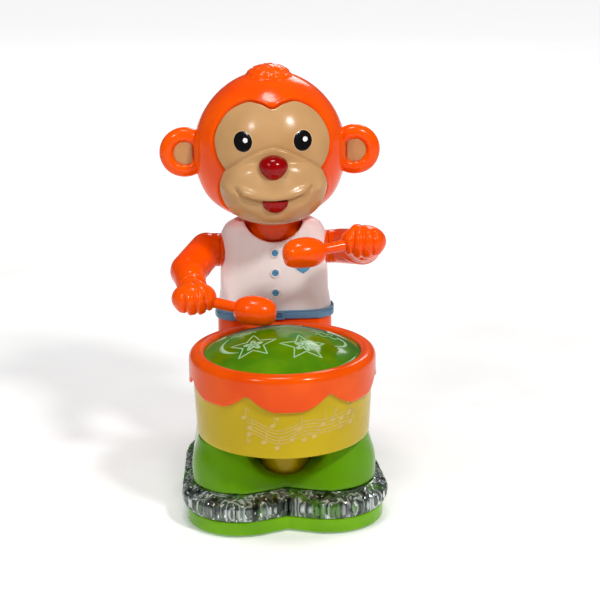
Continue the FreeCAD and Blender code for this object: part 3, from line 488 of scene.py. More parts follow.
def board_material():
    """Solder-masked board with tracks."""
    n = Nodes("circuit_board")
    tracks = n.add("ShaderNodeTexBrick", {
        "Vector": n.place, "Scale": 260.0, "Mortar Size": 0.03,
        "Color1": tone(16, 84, 46), "Color2": tone(24, 104, 58), "Mortar": tone(96, 140, 70),
    }).outputs["Color"]
    colour = n.mix(n.span(n.noise(0.6), 0.4, 0.7, 0.0, 0.3), tracks, tone(10, 60, 34))
    n.feed(n.shader.inputs["Base Color"], colour)
    n.feed(n.shader.inputs["Roughness"], n.span(n.noise(0.3), 0.3, 0.7, 0.3, 0.5))
    n.feed(n.shader.inputs["Normal"], n.relief(n.noise(1.2), 0.03))
    return n.material


def cell_material():
    """Shrink-wrapped jacket with a bright band and a dull metal end."""
    n = Nodes("cell_jacket")
    along = n.axis(0)
    band = n.ramp(n.span(along, -0.026, 0.026, 0.0, 1.0), [
        (0.0, tone(150, 150, 152)), (0.06, tone(24, 24, 28)), (0.7, tone(30, 30, 36)),
        (0.74, tone(196, 116, 40)), (0.95, tone(176, 96, 30)),
    ])
    colour = n.mix(n.span(n.noise(0.3), 0.4, 0.7, 0.0, 0.25), band, tone(12, 12, 14))
    n.feed(n.shader.inputs["Base Color"], colour)
    n.feed(n.shader.inputs["Roughness"], n.span(n.noise(0.2), 0.3, 0.7, 0.2, 0.4))
    n.feed(n.shader.inputs["Normal"], n.relief(n.noise(0.7), 0.02))
    n.shader.inputs["Coat Weight"].default_value = 0.5
    return n.material


def cone_material():
    """Grey card cone of the speaker with a fibrous surface."""
    n = Nodes("speaker_card")
    fibre = n.noise(1.1, 4.0, 0.7)
    n.feed(n.shader.inputs["Base Color"], n.ramp(fibre, [(0.3, tone(44, 42, 40)), (0.7, tone(78, 74, 70))]))
    n.feed(n.shader.inputs["Roughness"], n.span(fibre, 0.3, 0.7, 0.7, 0.9))
    n.feed(n.shader.inputs["Normal"], n.relief(fibre, 0.1))
    return n.material


PRISMS = clear_ring_material()
LENS = dome_material()
BOARD = board_material()
CELL = cell_material()
CARD = cone_material()


def finish_piece(obj, material, body, replaced=()):
    if material is not None:
        obj.data.materials.clear()
        obj.data.materials.append(material)
    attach(obj, body)
    if replaced:
        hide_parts(*replaced)
    return obj


# ---------------------------------------------------------------- two-lobed base

LOBE = Vector((22.1, -27.5))
LOBE_RADIUS, LOBE_SLOPE = 27.6, math.radians(21)
SIDE_X, SIDE_Y, TAIL = 47.0, 20.0, 46.0


def heart(inset, z, forward=0.0, dense=1):
    """The base's outline, inset evenly, as points from the front notch round the right side."""
    radius = LOBE_RADIUS - inset
    cx, cy = LOBE.x, LOBE.y + forward
    tx, ty = cx - radius * math.sin(LOBE_SLOPE), cy - radius * math.cos(LOBE_SLOPE)
    notch = (0.0, ty + tx * math.tan(LOBE_SLOPE))
    side = SIDE_X - inset
    right = [(notch[0] + (tx - notch[0]) * k / (6 * dense), notch[1] + (ty - notch[1]) * k / (6 * dense))
             for k in range(6 * dense)]
    start, end = -math.pi / 2 - LOBE_SLOPE, 0.0
    for k in range(28 * dense):
        a = start + (end - start) * k / (28 * dense)
        right.append((cx + radius * math.cos(a), cy + radius * math.sin(a)))
    for k in range(20 * dense):
        t = k / (20 * dense)
        right.append((cx + radius + (side - cx - radius) * t, cy + (SIDE_Y - cy) * t))
    for k in range(30 * dense):
        a = math.pi / 2 * k / (30 * dense)
        right.append((side * math.cos(a), SIDE_Y + (TAIL - inset) * math.sin(a)))
    tip = (0.0, SIDE_Y + TAIL - inset)
    left = [(-x, y) for x, y in reversed(right[1:])]
    return [Vector((x, y, z)) for x, y in right + [tip] + left]


tray = melted("tray", ["base_tray"], 0.65, 5)
finish_piece(tray, TRAY_LIME, "root", ["base_tray"])


def prism_ring():
    """Clear band of upright prisms of uneven width, two tiers of them, over a smooth inner face."""
    rng = np.random.default_rng(7)
    base = heart(0, 0, 0, dense=5)
    count = len(base)
    lengths = [(base[(i + 1) % count] - base[i]).length for i in range(count)]
    around = np.concatenate([[0], np.cumsum(lengths)])[:-1]
    total = float(sum(lengths))

    def teeth(low_width, high_width, depth):
        """A saw-tooth depth along the outline."""
        edges = [0.0]
        while edges[-1] < total:
            edges.append(edges[-1] + rng.uniform(low_width, high_width))
        edges = np.array(edges) * total / edges[-1]
        heights = rng.uniform(0.45, 1.0, len(edges))
        cell = np.clip(np.searchsorted(edges, around, side="right") - 1, 0, len(edges) - 2)
        along = (around - edges[cell]) / (edges[cell + 1] - edges[cell])
        lean = rng.uniform(0.3, 0.7, len(edges))[cell]
        ridge = np.where(along < lean, along / lean, (1 - along) / (1 - lean))
        return depth * heights[cell] * (1 - ridge)

    bars, glints = teeth(2.6, 5.0, 1.7), teeth(2.0, 4.2, 1.0)
    levels = [
        (0.3, 8.5, 0.0, None), (-0.4, 9.0, 0.0, None), (-1.5, 10.2, 0.0, bars), (-2.3, 11.8, 0.05, bars),
        (-2.6, 13.0, 0.1, bars), (-2.6, 14.4, 0.15, bars), (-2.5, 15.6, 0.3, bars), (-2.1, 16.8, 0.6, bars),
        (-1.2, 17.6, 1.2, bars), (-0.9, 17.9, 1.4, glints), (0.3, 18.6, 2.0, glints),
        (1.7, 19.3, 2.6, glints), (2.9, 19.8, 3.2, None), (3.4, 20.0, 3.6, None), (4.3, 19.9, 4.0, None),
        (4.4, 19.4, 4.0, None), (2.2, 12.2, 0.0, None), (2.0, 8.9, 0.0, None), (1.6, 8.5, 0.0, None),
    ]
    rings = []
    for inset, z, forward, depth in levels:
        ring = heart(inset, z, forward, dense=5)
        if depth is not None:
            deeper = heart(inset + 1.0, z, forward, dense=5)
            ring = [p + (q - p) * float(d) for p, q, d in zip(ring, deeper, depth)]
        rings.append(ring)
    ring = loft("prism_ring", rings, caps="none", loop=True)
    for polygon in ring.data.polygons:
        polygon.use_smooth = False
    return ring


finish_piece(prism_ring(), PRISMS, "root", ["light_ring"])

def soften_near(obj, weight, times):
    """Smooths a mesh where weight(points) is above zero."""
    co, _ = coords(obj)
    group = obj.vertex_groups.new(name="soft")
    shares = weight(co)
    for index in np.nonzero(shares > 0.02)[0]:
        group.add([int(index)], float(shares[index]), "REPLACE")
    smooth = obj.modifiers.new("soften", "SMOOTH")
    smooth.vertex_group = "soft"
    smooth.factor = 0.5
    smooth.iterations = times
    applied(obj)


def valley_lip(co):
    """Share of softening round the hollow between the two feet."""
    near = 1 - ease(np.abs(co[:, 0]), 22, 29)
    return near * (1 - ease(co[:, 1], -34, -28)) * ease(co[:, 2], 21, 24)


def full_sides(obj):
    """Swells the cover's sides a little above its foot."""
    co, no = coords(obj)
    outward_x = np.clip(no[:, 0] * np.sign(co[:, 0]), 0, 1)
    swell = 1.9 * ease(np.abs(co[:, 0]), 30, 44) * bump(co[:, 2] - 31, 9) * outward_x
    co[:, 0] += np.sign(co[:, 0]) * swell
    set_coords(obj, co)


cover = melted("cover", ["base_cover"], 0.75, 8)
full_sides(cover)
soften_near(cover, valley_lip, 60)
finish_piece(cover, LIME, "root", ["base_cover"])

# ---------------------------------------------------------------- drum


def drum_profile():
    corners = [
        (11.0, 24.5), (13.0, 24.5), (13.0, 45.0), (43.3, 45.0), (44.9, 76.0), (44.9, 84.0),
        (42.9, 84.0), (41.3, 47.0), (11.0, 47.0),
    ]
    path = rounded(corners, 1.6, 5)
    return [(p.x, p.y) for p in path]


def dense_profile(profile, step=2.0):
    """Adds points so that no stretch of a closed profile is longer than a step."""
    out = []
    for i, (r, z) in enumerate(profile):
        nr, nz = profile[(i + 1) % len(profile)]
        parts = max(1, int(math.hypot(nr - r, nz - z) / step))
        out += [(r + (nr - r) * k / parts, z + (nz - z) * k / parts) for k in range(parts)]
    return out


finish_piece(lathe("drum_side", dense_profile(drum_profile()), DRUM, 192), YELLOW, "root", ["drum_shell"])


def circle_through(a, b, c):
    ax, ay, bx, by, cx, cy = *a, *b, *c
    d = 2 * (ax * (by - cy) + bx * (cy - ay) + cx * (ay - by))
    a_square, b_square, c_square = ax * ax + ay * ay, bx * bx + by * by, cx * cx + cy * cy
    ux = (a_square * (by - cy) + b_square * (cy - ay) + c_square * (ay - by)) / d
    uy = (a_square * (cx - bx) + b_square * (ax - cx) + c_square * (bx - ax)) / d
    return ux, uy, math.hypot(ax - ux, ay - uy)


def skirt_edge(angle):
    """Height of the skirt's lower edge at an angle round the drum."""
    step = 2 * math.pi / RIM_LOBES
    valley = -math.pi / 2 + step / 2
    off = (angle - valley + step / 2) % step - step / 2
    across = abs(RIM_RADIUS * math.sin(off))
    half = RIM_RADIUS * math.tan(step / 2) * 0.97
    ux, uy, radius = circle_through((half, -1.0), (half * 0.42, 1.7), (1.6, RIM_RISE - 0.8))
    if across < 2.2:
        side = uy - math.sqrt(radius ** 2 - (2.2 - ux) ** 2)
        rise = side + 0.8 * (1 - (across / 2.2) ** 2)
    else:
        inside = max(radius ** 2 - (across - ux) ** 2, 0)
        rise = uy - math.sqrt(inside)
    return RIM_LOW + max(rise, 0.0)


def drum_rim():
    columns = RIM_LOBES * 56
    rings = []
    rows = 34
    for row in range(rows):
        ring = []
        for c in range(columns):
            angle = 2 * math.pi * (c + 0.5) / columns
            edge = skirt_edge(angle)
            ring.append(rim_point(edge, row, angle))
        rings.append(ring)
    return loft("rim", rings, caps="none", loop=True)


def rim_point(edge, row, angle):
    """The point of the rim's closed profile at one row of the grid."""
    low = edge + 0.35
    path = [(RIM_INNER, 86.0), (RIM_INNER, low + 5.0), (RIM_INNER, low + 0.6), (RIM_INNER + 0.12, low)]
    path += [(RIM_INNER + 0.4, edge), (RIM_INNER + 0.8, edge - 0.08), (RIM_RADIUS - 0.35, edge),
             (RIM_RADIUS - 0.05, low)]
    path += [(RIM_RADIUS + 0.1, low + 0.7), (RIM_RADIUS + 0.05, low + 1.8)]
    start = low + 3.0
    path += [(RIM_RADIUS, start + (RIM_SHOULDER - start) * k / 5) for k in range(6)]
    path += [(RIM_RADIUS - 4.0 + 4.0 * math.cos(a), RIM_SHOULDER + 4.0 * math.sin(a))
             for a in (math.pi / 2 * k / 8 for k in range(1, 9))]
    path += [(41.6, RIM_TOP), (40.6, 87.75), (39.7, 87.2), (39.15, 86.5), (RIM_OPENING, DOME_EDGE),
             (40.5, 85.9), (42.0, 85.95),
             (43.5, 86.0), (44.4, 86.0), (44.8, 86.0)]
    r, z = path[row]
    return DRUM + Vector((r * math.cos(angle), r * math.sin(angle), z))


finish_piece(drum_rim(), RIM_ORANGE, "root", ["drum_rim"])


def dome_point(x, y, height):
    """A point over the drum head at a distance from its surface."""
    centre = Vector((0, 0, DOME_APEX - DOME_RADIUS))
    z = math.sqrt(max(DOME_RADIUS ** 2 - x * x - y * y, 0.0))
    return DRUM + centre + Vector((x, y, z)) * ((DOME_RADIUS + height) / DOME_RADIUS)


def dome_profile():
    outer = [(r, DOME_APEX - DOME_RADIUS + math.sqrt(DOME_RADIUS ** 2 - r * r))
             for r in np.linspace(0.02, 38.7, 40)]
    inner = [(r, DOME_APEX - DOME_RADIUS + math.sqrt((DOME_RADIUS - 1.5) ** 2 - r * r))
             for r in np.linspace(37.0, 0.02, 24)]
    return outer + [(38.85, 86.3), (38.85, 86.0), (41.8, 86.0), (42.0, 85.8), (42.0, 84.6), (41.8, 84.4),
                    (37.4, 84.4), (37.0, 84.8)] + inner


finish_piece(lathe("drum_head", dome_profile(), DRUM, 128), LENS, "root", ["drum_dome"])


def closed_path(points, per_side=6):
    """A closed polygon with points added along its sides and its start repeated."""
    out = []
    for i, p in enumerate(points):
        q = points[(i + 1) % len(points)]
        out += [Vector(p).lerp(Vector(q), k / per_side) for k in range(per_side)]
    return out + [out[0]]


def star(centre, outer, inner, turn):
    points = []
    for k in range(10):
        radius = outer if k % 2 == 0 else inner
        a = math.radians(turn + 36 * k)
        points.append(Vector((centre[0] + radius * math.sin(a), centre[1] + radius * math.cos(a))))
    return points


def crescent(cx, cy, radius, turn, reach, widest):
    """Path and widths of a filled crescent."""
    path, widths = [], []
    for k in range(25):
        share = k / 24
        a = math.radians(turn + reach * (share - 0.5))
        path.append(Vector((cx + radius * math.cos(a), cy + radius * math.sin(a))))
        widths.append(0.25 + widest * math.sin(math.pi * share) ** 1.2)
    return path, widths


def dome_print():
    """Two outlined stars with a scribbled rosette each, crescents and small waves, printed on the head."""
    lines = []
    for number, (centre, turn) in enumerate((((-15.0, -12.4), 4.0), ((9.6, -16.4), -8.0))):
        lines.append((closed_path(star(centre, 12.0, 5.2, turn)), 0.65))
        rosette = []
        for k in range(181):
            a = 2 * math.pi * k / 36
            radius = 2.7 + 1.5 * math.sin(5 * a + number) + 0.9 * math.sin(11 * a / 5)
            rosette.append(Vector((centre[0] + radius * math.cos(a), centre[1] + radius * math.sin(a))))
        lines.append((rosette, 0.42))
    lines.append(crescent(-19.0, -5.0, 11.5, 190.0, 125.0, 1.9))
    lines.append(crescent(24.0, -3.5, 7.5, -10.0, 140.0, 1.2))
    for cx, cy, size in ((-2.0, 12.5, 3.8), (23.5, 0.0, 3.4), (-19.0, 5.0, 3.2), (20.5, 4.5, 2.6),
                         (6.0, 17.0, 2.6)):
        wave = [Vector((cx + (k - 9) * size * 0.22, cy + size * 0.35 * math.sin(k * 0.9))) for k in range(19)]
        lines.append((wave, 0.5))
    parts = [strip(f"print_{k}", path, width, dome_point, 0.08) for k, (path, width) in enumerate(lines)]
    return joined("drum_head_print", parts)


finish_piece(dome_print(), MINT_INK, "root")


def shell_point(u, v, height):
    """A point on the drum's side: u along its circumference from the front, v its height."""
    radius = 43.3 + 1.6 * min((v - 45.0) / 31.0, 1.0) + height
    angle = -math.pi / 2 + u / 44.4
    return DRUM + Vector((radius * math.cos(angle), radius * math.sin(angle), v))


def staff_print():
    """Faint printed stave that ripples round the front, with plain notes on it and round it."""
    parts = []

    def wave(u, row):
        dip = 4.2 * math.exp(-((u + 4.0) / 10.5) ** 2)
        return 61.5 + row * 1.7 - dip + 0.7 * math.sin(u / 4.0)

    for row in range(-2, 3):
        path = [Vector((u, wave(u, row))) for u in np.arange(-21.0, 37.1, 0.8)]
        parts.append(strip(f"stave_{row}", path, 0.5, shell_point, 0.06))
    notes = ((-22.5, 4.0, 5.5), (-19.5, -1.0, 6), (-20.0, -4.5, -5), (-8.0, 5.5, 4.5), (-12.5, -5.5, 6),
             (-6.0, -5.5, 6), (1.5, -3.2, 6), (5.0, 1.0, 6), (7.5, -6.0, 4), (12.5, -5.0, 4.5),
             (17.0, 1.0, 6), (22.5, 2.0, 6), (28.0, 1.0, -6), (33.0, 2.0, 6.5), (34.5, -3.0, 6))
    for number, (u, above, stem) in enumerate(notes):
        v = wave(u, 0) + above
        oval = [(u + 1.35 * math.cos(a) - 0.25 * math.sin(a), v + 0.95 * math.sin(a) + 0.35 * math.cos(a))
                for a in (2 * math.pi * k / 18 for k in range(18))]
        parts.append(patch(f"note_{number}", oval, shell_point, -0.1, 0.07, 2))
        side = math.copysign(1.2, stem)
        top = Vector((u + side, v + stem))
        parts.append(strip(f"stem_{number}", [Vector((u + side, v)), Vector((u + side, v + stem / 2)), top],
                           0.45,
                           shell_point, 0.06))
        if number % 3 != 1:
            down = math.copysign(1.0, stem)
            flag = [top, top + Vector((1.2, -down)), top + Vector((1.8, -2.6 * down))]
            parts.append(strip(f"flag_{number}", flag, 0.55, shell_point, 0.06))
    return joined("stave_print", parts)


finish_piece(staff_print(), STAFF_INK, "root")

# ---------------------------------------------------------------- trousers, belt and vest


def torso_ring(half_x, front, back, corner, z, grow=0.0):
    """Section of the body from the middle of its front: flat, round corner, seam, half an ellipse behind."""
    half_x, front, back, corner = half_x + grow, front + grow, back + grow, corner + grow
    face = SEAM_Y - front
    bend = face + corner
    right = [((half_x - corner) * k / 16, face) for k in range(16)]
    for k in range(16):
        a = -math.pi / 2 + math.pi / 2 * k / 16
        right.append((half_x - corner + corner * math.cos(a), bend + corner * math.sin(a)))
    right += [(half_x, bend + (SEAM_Y - bend) * k / 4) for k in range(4)]
    for k in range(40):
        a = math.pi / 2 * k / 40
        right.append((half_x * math.cos(a), SEAM_Y + back * math.sin(a)))
    left = [(-x, y) for x, y in reversed(right[1:])]
    return [Vector((x, y, z)) for x, y in right + [(0.0, SEAM_Y + back)] + left]


def shoulder_share(co):
    """Share of softening on the vest's shoulders, away from its neckline."""
    return ease(co[:, 2], 127, 130) * ease(np.abs(co[:, 0]), 18, 21)


for side_name in ("front", "back"):
    trousers = melted("trousers_" + side_name + "_skin", ["trousers_" + side_name], 0.55, 4)
    finish_piece(trousers, ORANGE, "root", ["trousers_" + side_name])
    vest = melted("vest_" + side_name + "_skin", ["vest_" + side_name], 0.5, 9)
    soften_near(vest, shoulder_share, 45)
    finish_piece(vest, VEST, "root", ["vest_" + side_name])
finish_piece(melted("door_skin", ["battery_door"], 0.4, 4), ORANGE, "battery_door", ["battery_door"])

neck = melted("collar_neck", ["neck"], 0.45, 6)
neck_points, _ = coords(neck)
neck_top = neck_points[:, 2].max()
neck_points[:, 2] += 2.0 * ease(neck_points[:, 2], neck_top - 6, neck_top - 1)
set_coords(neck, neck_points)
finish_piece(neck, ORANGE, "root", ["neck"])

SOCKET = [(5.2, 25.4), (6.6, 25.4), (8.2, 26.8), (8.9, 27.8), (8.6, 28.25), (5.6, 28.3), (5.2, 27.9)]
sockets = []
for side in (1, -1):
    flipped = [(radius, side * depth) for radius, depth in SOCKET]
    sockets.append(lathe(f"socket_{side}", flipped, (0, SHOULDER_Y, SHOULDER_Z), 64, True, "X"))
finish_piece(joined("shoulder_sockets", sockets), ORANGE, "root")


def belt_band():
    """Belt with a piped top edge and a group of fine ribs by each side seam."""
    rows = [(0.1, 88.1), (0.8, 88.0), (1.15, 88.35), (1.2, 89.0), (1.2, 90.0), (1.2, 91.0), (1.1, 91.5),
            (0.9, 91.7), (1.15, 91.95), (1.3, 92.3), (1.1, 92.65), (0.7, 92.7), (0.1, 92.6)]
    rings = []
    for grow, z in rows:
        ring = torso_ring(30.2, 10.5, 25.5, 10.0, z, grow)
        if 88.3 < z < 91.2:
            ring = [p + ribs(p) for p in ring]
        rings.append(ring)
    return loft("belt_band", rings, caps="none", loop=True)


def ribs(point):
    """Outward push of the ribs that stand on the belt's sides."""
    near = bump(abs(point.y - 32.0), 7.0) if abs(point.x) > 22 else 0.0
    wave = max(0.0, math.sin(point.y * 2.6))
    out = Vector((point.x, point.y - SEAM_Y, 0)).normalized()
    return out * float(0.45 * near * wave)


finish_piece(belt_band(), BELT, "root", ["belt"])
finish_piece(melted("buckle", ["belt_buckle"], 0.22, 3), BELT, "root", ["belt_buckle"])

BUTTON_Y = 26.0


def buttons():
    """Three sewn-look buttons: a white raised ring round a blue, two-holed middle."""
    parts = []
    for number in range(3):
        centre = Vector((0, BUTTON_Y, 124.0 - 10.8 * number))
        ring = lathe(f"ring_{number}", [(1.7, 0.4), (1.75, -0.35), (1.95, -0.75), (2.3, -0.8), (2.65, -0.5),
                                        (2.75, 0.4)],
                     centre, 40, True, "Y")
        ring.data.materials.append(VEST)
        middle = lathe(f"middle_{number}", [(0.02, -0.42), (0.8, -0.46), (1.35, -0.62), (1.65, -0.6),
                                            (1.78, -0.3), (1.75, 0.4)], centre, 40, False, "Y")
        middle.data.materials.append(BUTTON_BLUE)
        parts += [ring, middle]
        for side in (-1, 1):
            hole = lathe(f"hole_{number}_{side}", [(0.02, -0.52), (0.22, -0.52), (0.26, -0.4), (0.26, 0.2)],
                         centre + Vector((side * 0.5, 0, 0)), 14, False, "Y")
            hole.data.materials.append(BLACK_MOULD)
            parts.append(hole)
    return joined("buttons", parts)


finish_piece(buttons(), None, "root", ["vest_buttons"])


def pocket():
    """Breast pocket with a softly pointed foot and a hem, flat on the vest's front."""
    outline = [(9.0, 127.5), (12.6, 127.5), (16.4, 127.5), (20.0, 127.5), (20.2, 122.5), (20.0, 118.2),
               (19.0, 116.3), (17.0, 114.1), (14.6, 112.6), (12.2, 114.1), (10.2, 116.3), (9.1, 118.2),
               (8.8, 122.5)]

    def front(u, v, height):
        side = max(0.0, abs(u) - 18.4)
        return Vector((u, BUTTON_Y + side * side * 0.06 - height, v))

    body = patch("pocket_body", outline, front, -0.3, 0.55, 4)
    hem = strip("hem", [Vector((8.9 + 11.2 * k / 10, 126.6)) for k in range(11)], 1.5, front, 0.85)
    return joined("breast_pocket", [body, hem])


finish_piece(pocket(), BUTTON_BLUE, "root")

# ---------------------------------------------------------------- arms


def near_line(co, a, b):
    """Share along a line and distance from it, for an array of points."""
    a, b = np.array(a), np.array(b)
    along = b - a
    t = (co - a) @ along / (along @ along)
    foot = a + np.clip(t, -0.5, 1.5)[:, None] * along
    return t, np.linalg.norm(co - foot, axis=1)


def arm_relief(co, no):
    """Sleeve creases at the elbow, a cuff at the wrist and a closed hand's fingers."""
    height = np.zeros(len(co))
    t, _ = near_line(co, ELBOW, WRIST)
    span = (WRIST - ELBOW).length
    s = t * span
    in_sleeve = (co[:, 1] < 34) & (co[:, 1] > 2)
    inner = ease(-no[:, 0], -0.2, 0.7)
    elbow = np.linalg.norm(co - np.array(ELBOW), axis=1)
    folds = 0.34 * np.sin(s * 1.25 + co[:, 2] * 0.3) * bump(elbow - 6.0, 5.0) * (0.1 + 0.9 * inner)
    height += np.where(in_sleeve, folds, 0)
    cuff = s - span * 0.86
    cuff_ridges = 0.75 * bump(cuff, 1.1) - 0.55 * bump(cuff - 2.0, 0.6) - 0.4 * bump(cuff + 2.0, 0.7)
    height += np.where(co[:, 1] > 0, cuff_ridges, 0)
    local = co - np.array(FIST)
    hand = ease(-co[:, 1], -3.0, 1.0)
    front_low = ease(-no[:, 2] - no[:, 1] * 0.6, -0.15, 0.45)
    for gap in (-5.6, -0.4, 4.9):
        height -= hand * front_low * 1.15 * bump(local[:, 0] - gap - 0.12 * local[:, 2], 0.62)
    for knuckle in (-8.2, -3.0, 2.3, 7.4):
        height += hand * front_low * 0.5 * bump(local[:, 0] - knuckle, 1.7)
    thumb = bump(local[:, 0] + 4.2 - 0.35 * (local[:, 1] + 4), 2.4) * ease(no[:, 2], 0.1, 0.7)
    height += hand * 1.0 * thumb
    edge = bump(np.abs(local[:, 0] + 4.2 - 0.35 * (local[:, 1] + 4)) - 3.4, 0.55) * ease(no[:, 2], 0.1, 0.6)
    height -= hand * 0.55 * edge
    return height


def arm(side):
    """One arm's skin, worked in the left arm's lowered place."""
    skin = melted(side + "_arm_skin", [side + "_arm_upper", side + "_arm_lower"], 0.42, 5)
    shoulder = (0, SHOULDER_Y, SHOULDER_Z)
    if side == "right":
        mirrored_x(skin)
    else:
        moved(skin, about(shoulder, SWING, "X"))
    raise_by(skin, arm_relief)
    co, _ = coords(skin)
    co[:, 0] -= 0.5 * (1 - ease(co[:, 0], 28.6, 31.5))
    set_coords(skin, co)
    smooth = skin.modifiers.new("soften", "SMOOTH")
    smooth.factor = 0.4
    smooth.iterations = 1
    applied(skin)
    if side == "right":
        mirrored_x(skin)
    else:
        moved(skin, about(shoulder, -SWING, "X"))
    return skin


def mallet(side):
    """Drumstick: stick with a collar under a blunt, slightly drooping head that is flat below."""
    along = (MALLET - FIST).normalized()
    start = FIST - along * 9.0
    length = (MALLET - start).length
    stations = [(0.0, 0.3), (0.0, 2.0), (0.5, 2.5), (2.0, 2.8), (14.0, 2.8), (20.0, 2.8), (26.0, 2.7),
                (30.5, 2.6), (31.0, 2.7), (31.4, 3.1), (32.2, 3.25), (33.0, 3.1), (33.4, 2.7), (34.5, 2.6)]
    axis_u = Vector((0, 0, 1))
    axis_v = along.cross(axis_u).normalized()
    axis_u = axis_v.cross(along).normalized()
    rings = []
    for s, radius in stations:
        centre = start + along * min(s, length)
        rings.append([centre + (axis_u * math.cos(a) + axis_v * math.sin(a)) * radius
                      for a in (2 * math.pi * k / 32 for k in range(32))])
    stick = loft("stick", rings)
    flat = Vector((MALLET.x - FIST.x, MALLET.y - FIST.y, 0)).normalized()
    across = Vector((-flat.y, flat.x, 0))
    lean = (flat - Vector((0, 0, 0.16))).normalized()
    lift = lean.cross(across)
    rings = []
    for k in range(1, 36):
        a = math.pi * k / 36
        reach = -math.cos(a)
        rad = math.sin(a)
        if reach < 0:
            swell = 0.34 + 0.66 * rad ** 1.2
        else:
            swell = max(1 - reach ** 2.6, 0.0) ** (1 / 2.6)
        centre = MALLET + lean * (10.8 * reach)
        ring = []
        for j in range(48):
            b = 2 * math.pi * j / 48
            p = centre + across * (8.0 * swell * math.cos(b)) + lift * (8.0 * swell * math.sin(b))
            if p.z < MALLET_FOOT + 1.2:
                p.z = MALLET_FOOT + 1.2 * math.exp((p.z - MALLET_FOOT - 1.2) / 1.6)
            ring.append(p)
        rings.append(ring)
    head = loft("egg", rings)
    piece = joined(side + "_drumstick", [stick, head])
    if side == "right":
        mirrored_x(piece)
    else:
        moved(piece, about((0, SHOULDER_Y, SHOULDER_Z), -SWING, "X"))
    return piece


for side_name in ("right", "left"):
    body = side_name + "_arm"
    finish_piece(arm(side_name), ORANGE, body, [body + "_upper", body + "_lower"])
    finish_piece(mallet(side_name), ORANGE, body, [side_name + "_mallet"])

# ---------------------------------------------------------------- head, worked round its own centre

PIVOT = Vector((0, NECK_Y, 0))
TURN = Matrix.Rotation(math.radians(HEAD_TURN), 4, "Z")
HEAD_PLACE = shift(PIVOT + TURN.to_3x3() @ (HEAD - PIVOT)) @ TURN


def fuller_head(obj, sides):
    """Higher crown, shorter chin and wider sides behind the face than a plain ellipsoid."""
    co, _ = coords(obj)
    crown = np.clip(co[:, 2] / 36, 0, 1.1) ** 3
    chin = np.clip((-10 - co[:, 2]) / 27, 0, 1)
    behind = ease(co[:, 1], -28, -5)
    jowl = 1.5 * bump(co[:, 2] + 27, 10) * np.tanh(co[:, 0] / 12)
    co[:, 2] += 1.2 * crown + 2.0 * chin
    co[:, 0] += behind * (sides * (0.04 * co[:, 0] + jowl) - 1.2)
    set_coords(obj, co)
    return obj


def head_piece(obj, material, replaced=(), sides=1.0):
    moved(fuller_head(obj, sides), HEAD_PLACE)
    return finish_piece(obj, material, "head", replaced)


def spline(points, per_span):
    """Smooth open curve through points, as Catmull-Rom spans."""
    ends = [2 * points[0] - points[1]] + points + [2 * points[-1] - points[-2]]
    out = []
    for i in range(1, len(ends) - 2):
        p0, p1, p2, p3 = ends[i - 1], ends[i], ends[i + 1], ends[i + 2]
        for k in range(per_span):
            t = k / per_span
            out.append(0.5 * ((2 * p1) + (p2 - p0) * t + (2 * p0 - 5 * p1 + 4 * p2 - p3) * t * t
                              + (3 * p1 - 3 * p2 + p3 - p0) * t ** 3))
    return out + [points[-1]]


def face_outline():
    """Outline of the face in (x, z): heart-shaped brow, pinched sides, round jaw."""
    brow = [(-6.2, 28.2), (0, 26.0), (6.2, 28.2), (13.2, 28.6), (22.6, 23.2), (28.6, 13.0), (28.2, 3.0),
            (23.9, -5.0)]
    jaw = [(23.9, -5.0), (26.2, -11.5), (26.0, -19.0), (20.8, -27.8), (11.9, -34.3), (0, -36.8),
           (-11.9, -34.3)]
    upper = spline([Vector(p) for p in brow], 16)[16:]
    lower = spline([Vector(p) for p in jaw], 16)[:-16]
    right = upper[:-1] + lower
    if right[-1].x > 0.05:
        right.append(Vector((0, -36.8)))
    left = [Vector((-p.x, p.y)) for p in reversed(right[1:-1])]
    return right + left


OUTLINE = face_outline()
CORE = Vector((0, -12.0, -9.0))


def exit_share(direction, centre, radii, origin):
    """How far a ray from origin goes before it leaves an ellipsoid."""
    o = [(origin[i] - centre[i]) / radii[i] for i in range(3)]
    d = [direction[i] / radii[i] for i in range(3)]
    a = sum(x * x for x in d)
    b = sum(x * y for x, y in zip(o, d))
    c = sum(x * x for x in o) - 1
    return (-b + math.sqrt(max(b * b - a * c, 0))) / a


def soft_max(a, b, width):
    h = max(width - abs(a - b), 0.0) / width
    return max(a, b) + h * h * width / 4


SKULL_FACE = tuple(r + 0.8 for r in HEAD_RADII)


def face_point(direction, lift=0.0):
    """Surface of the face in a direction from its core."""
    skull = exit_share(direction, (0, 0, 0), SKULL_FACE, CORE)
    snout = exit_share(direction, MUZZLE, MUZZLE_RADII, CORE)
    return CORE + direction * (soft_max(skull, snout, 1.0) + lift)


def front_y(x, z):
    """Depth of the face's surface at a place seen from the front."""
    skull = 1 - (x / SKULL_FACE[0]) ** 2 - (z / SKULL_FACE[2]) ** 2
    snout = 1 - (x / MUZZLE_RADII[0]) ** 2 - ((z - MUZZLE.z) / MUZZLE_RADII[2]) ** 2
    depth = SKULL_FACE[1] * math.sqrt(max(skull, 0.0))
    if snout > 0:
        depth = soft_max(depth, -MUZZLE.y + MUZZLE_RADII[1] * math.sqrt(snout), 1.0)
    return -depth


def face_normal(x, z):
    e = 0.25
    dx = (front_y(x + e, z) - front_y(x - e, z)) / (2 * e)
    dz = (front_y(x, z + e) - front_y(x, z - e)) / (2 * e)
    return Vector((dx, -1, dz)).normalized()


def on_face(x, z, height):
    return Vector((x, front_y(x, z), z)) + face_normal(x, z) * height


SMILE_LEFT, SMILE_RIGHT, SMILE_DIP = (-17.9, -14.2), (18.2, -13.2), -18.8


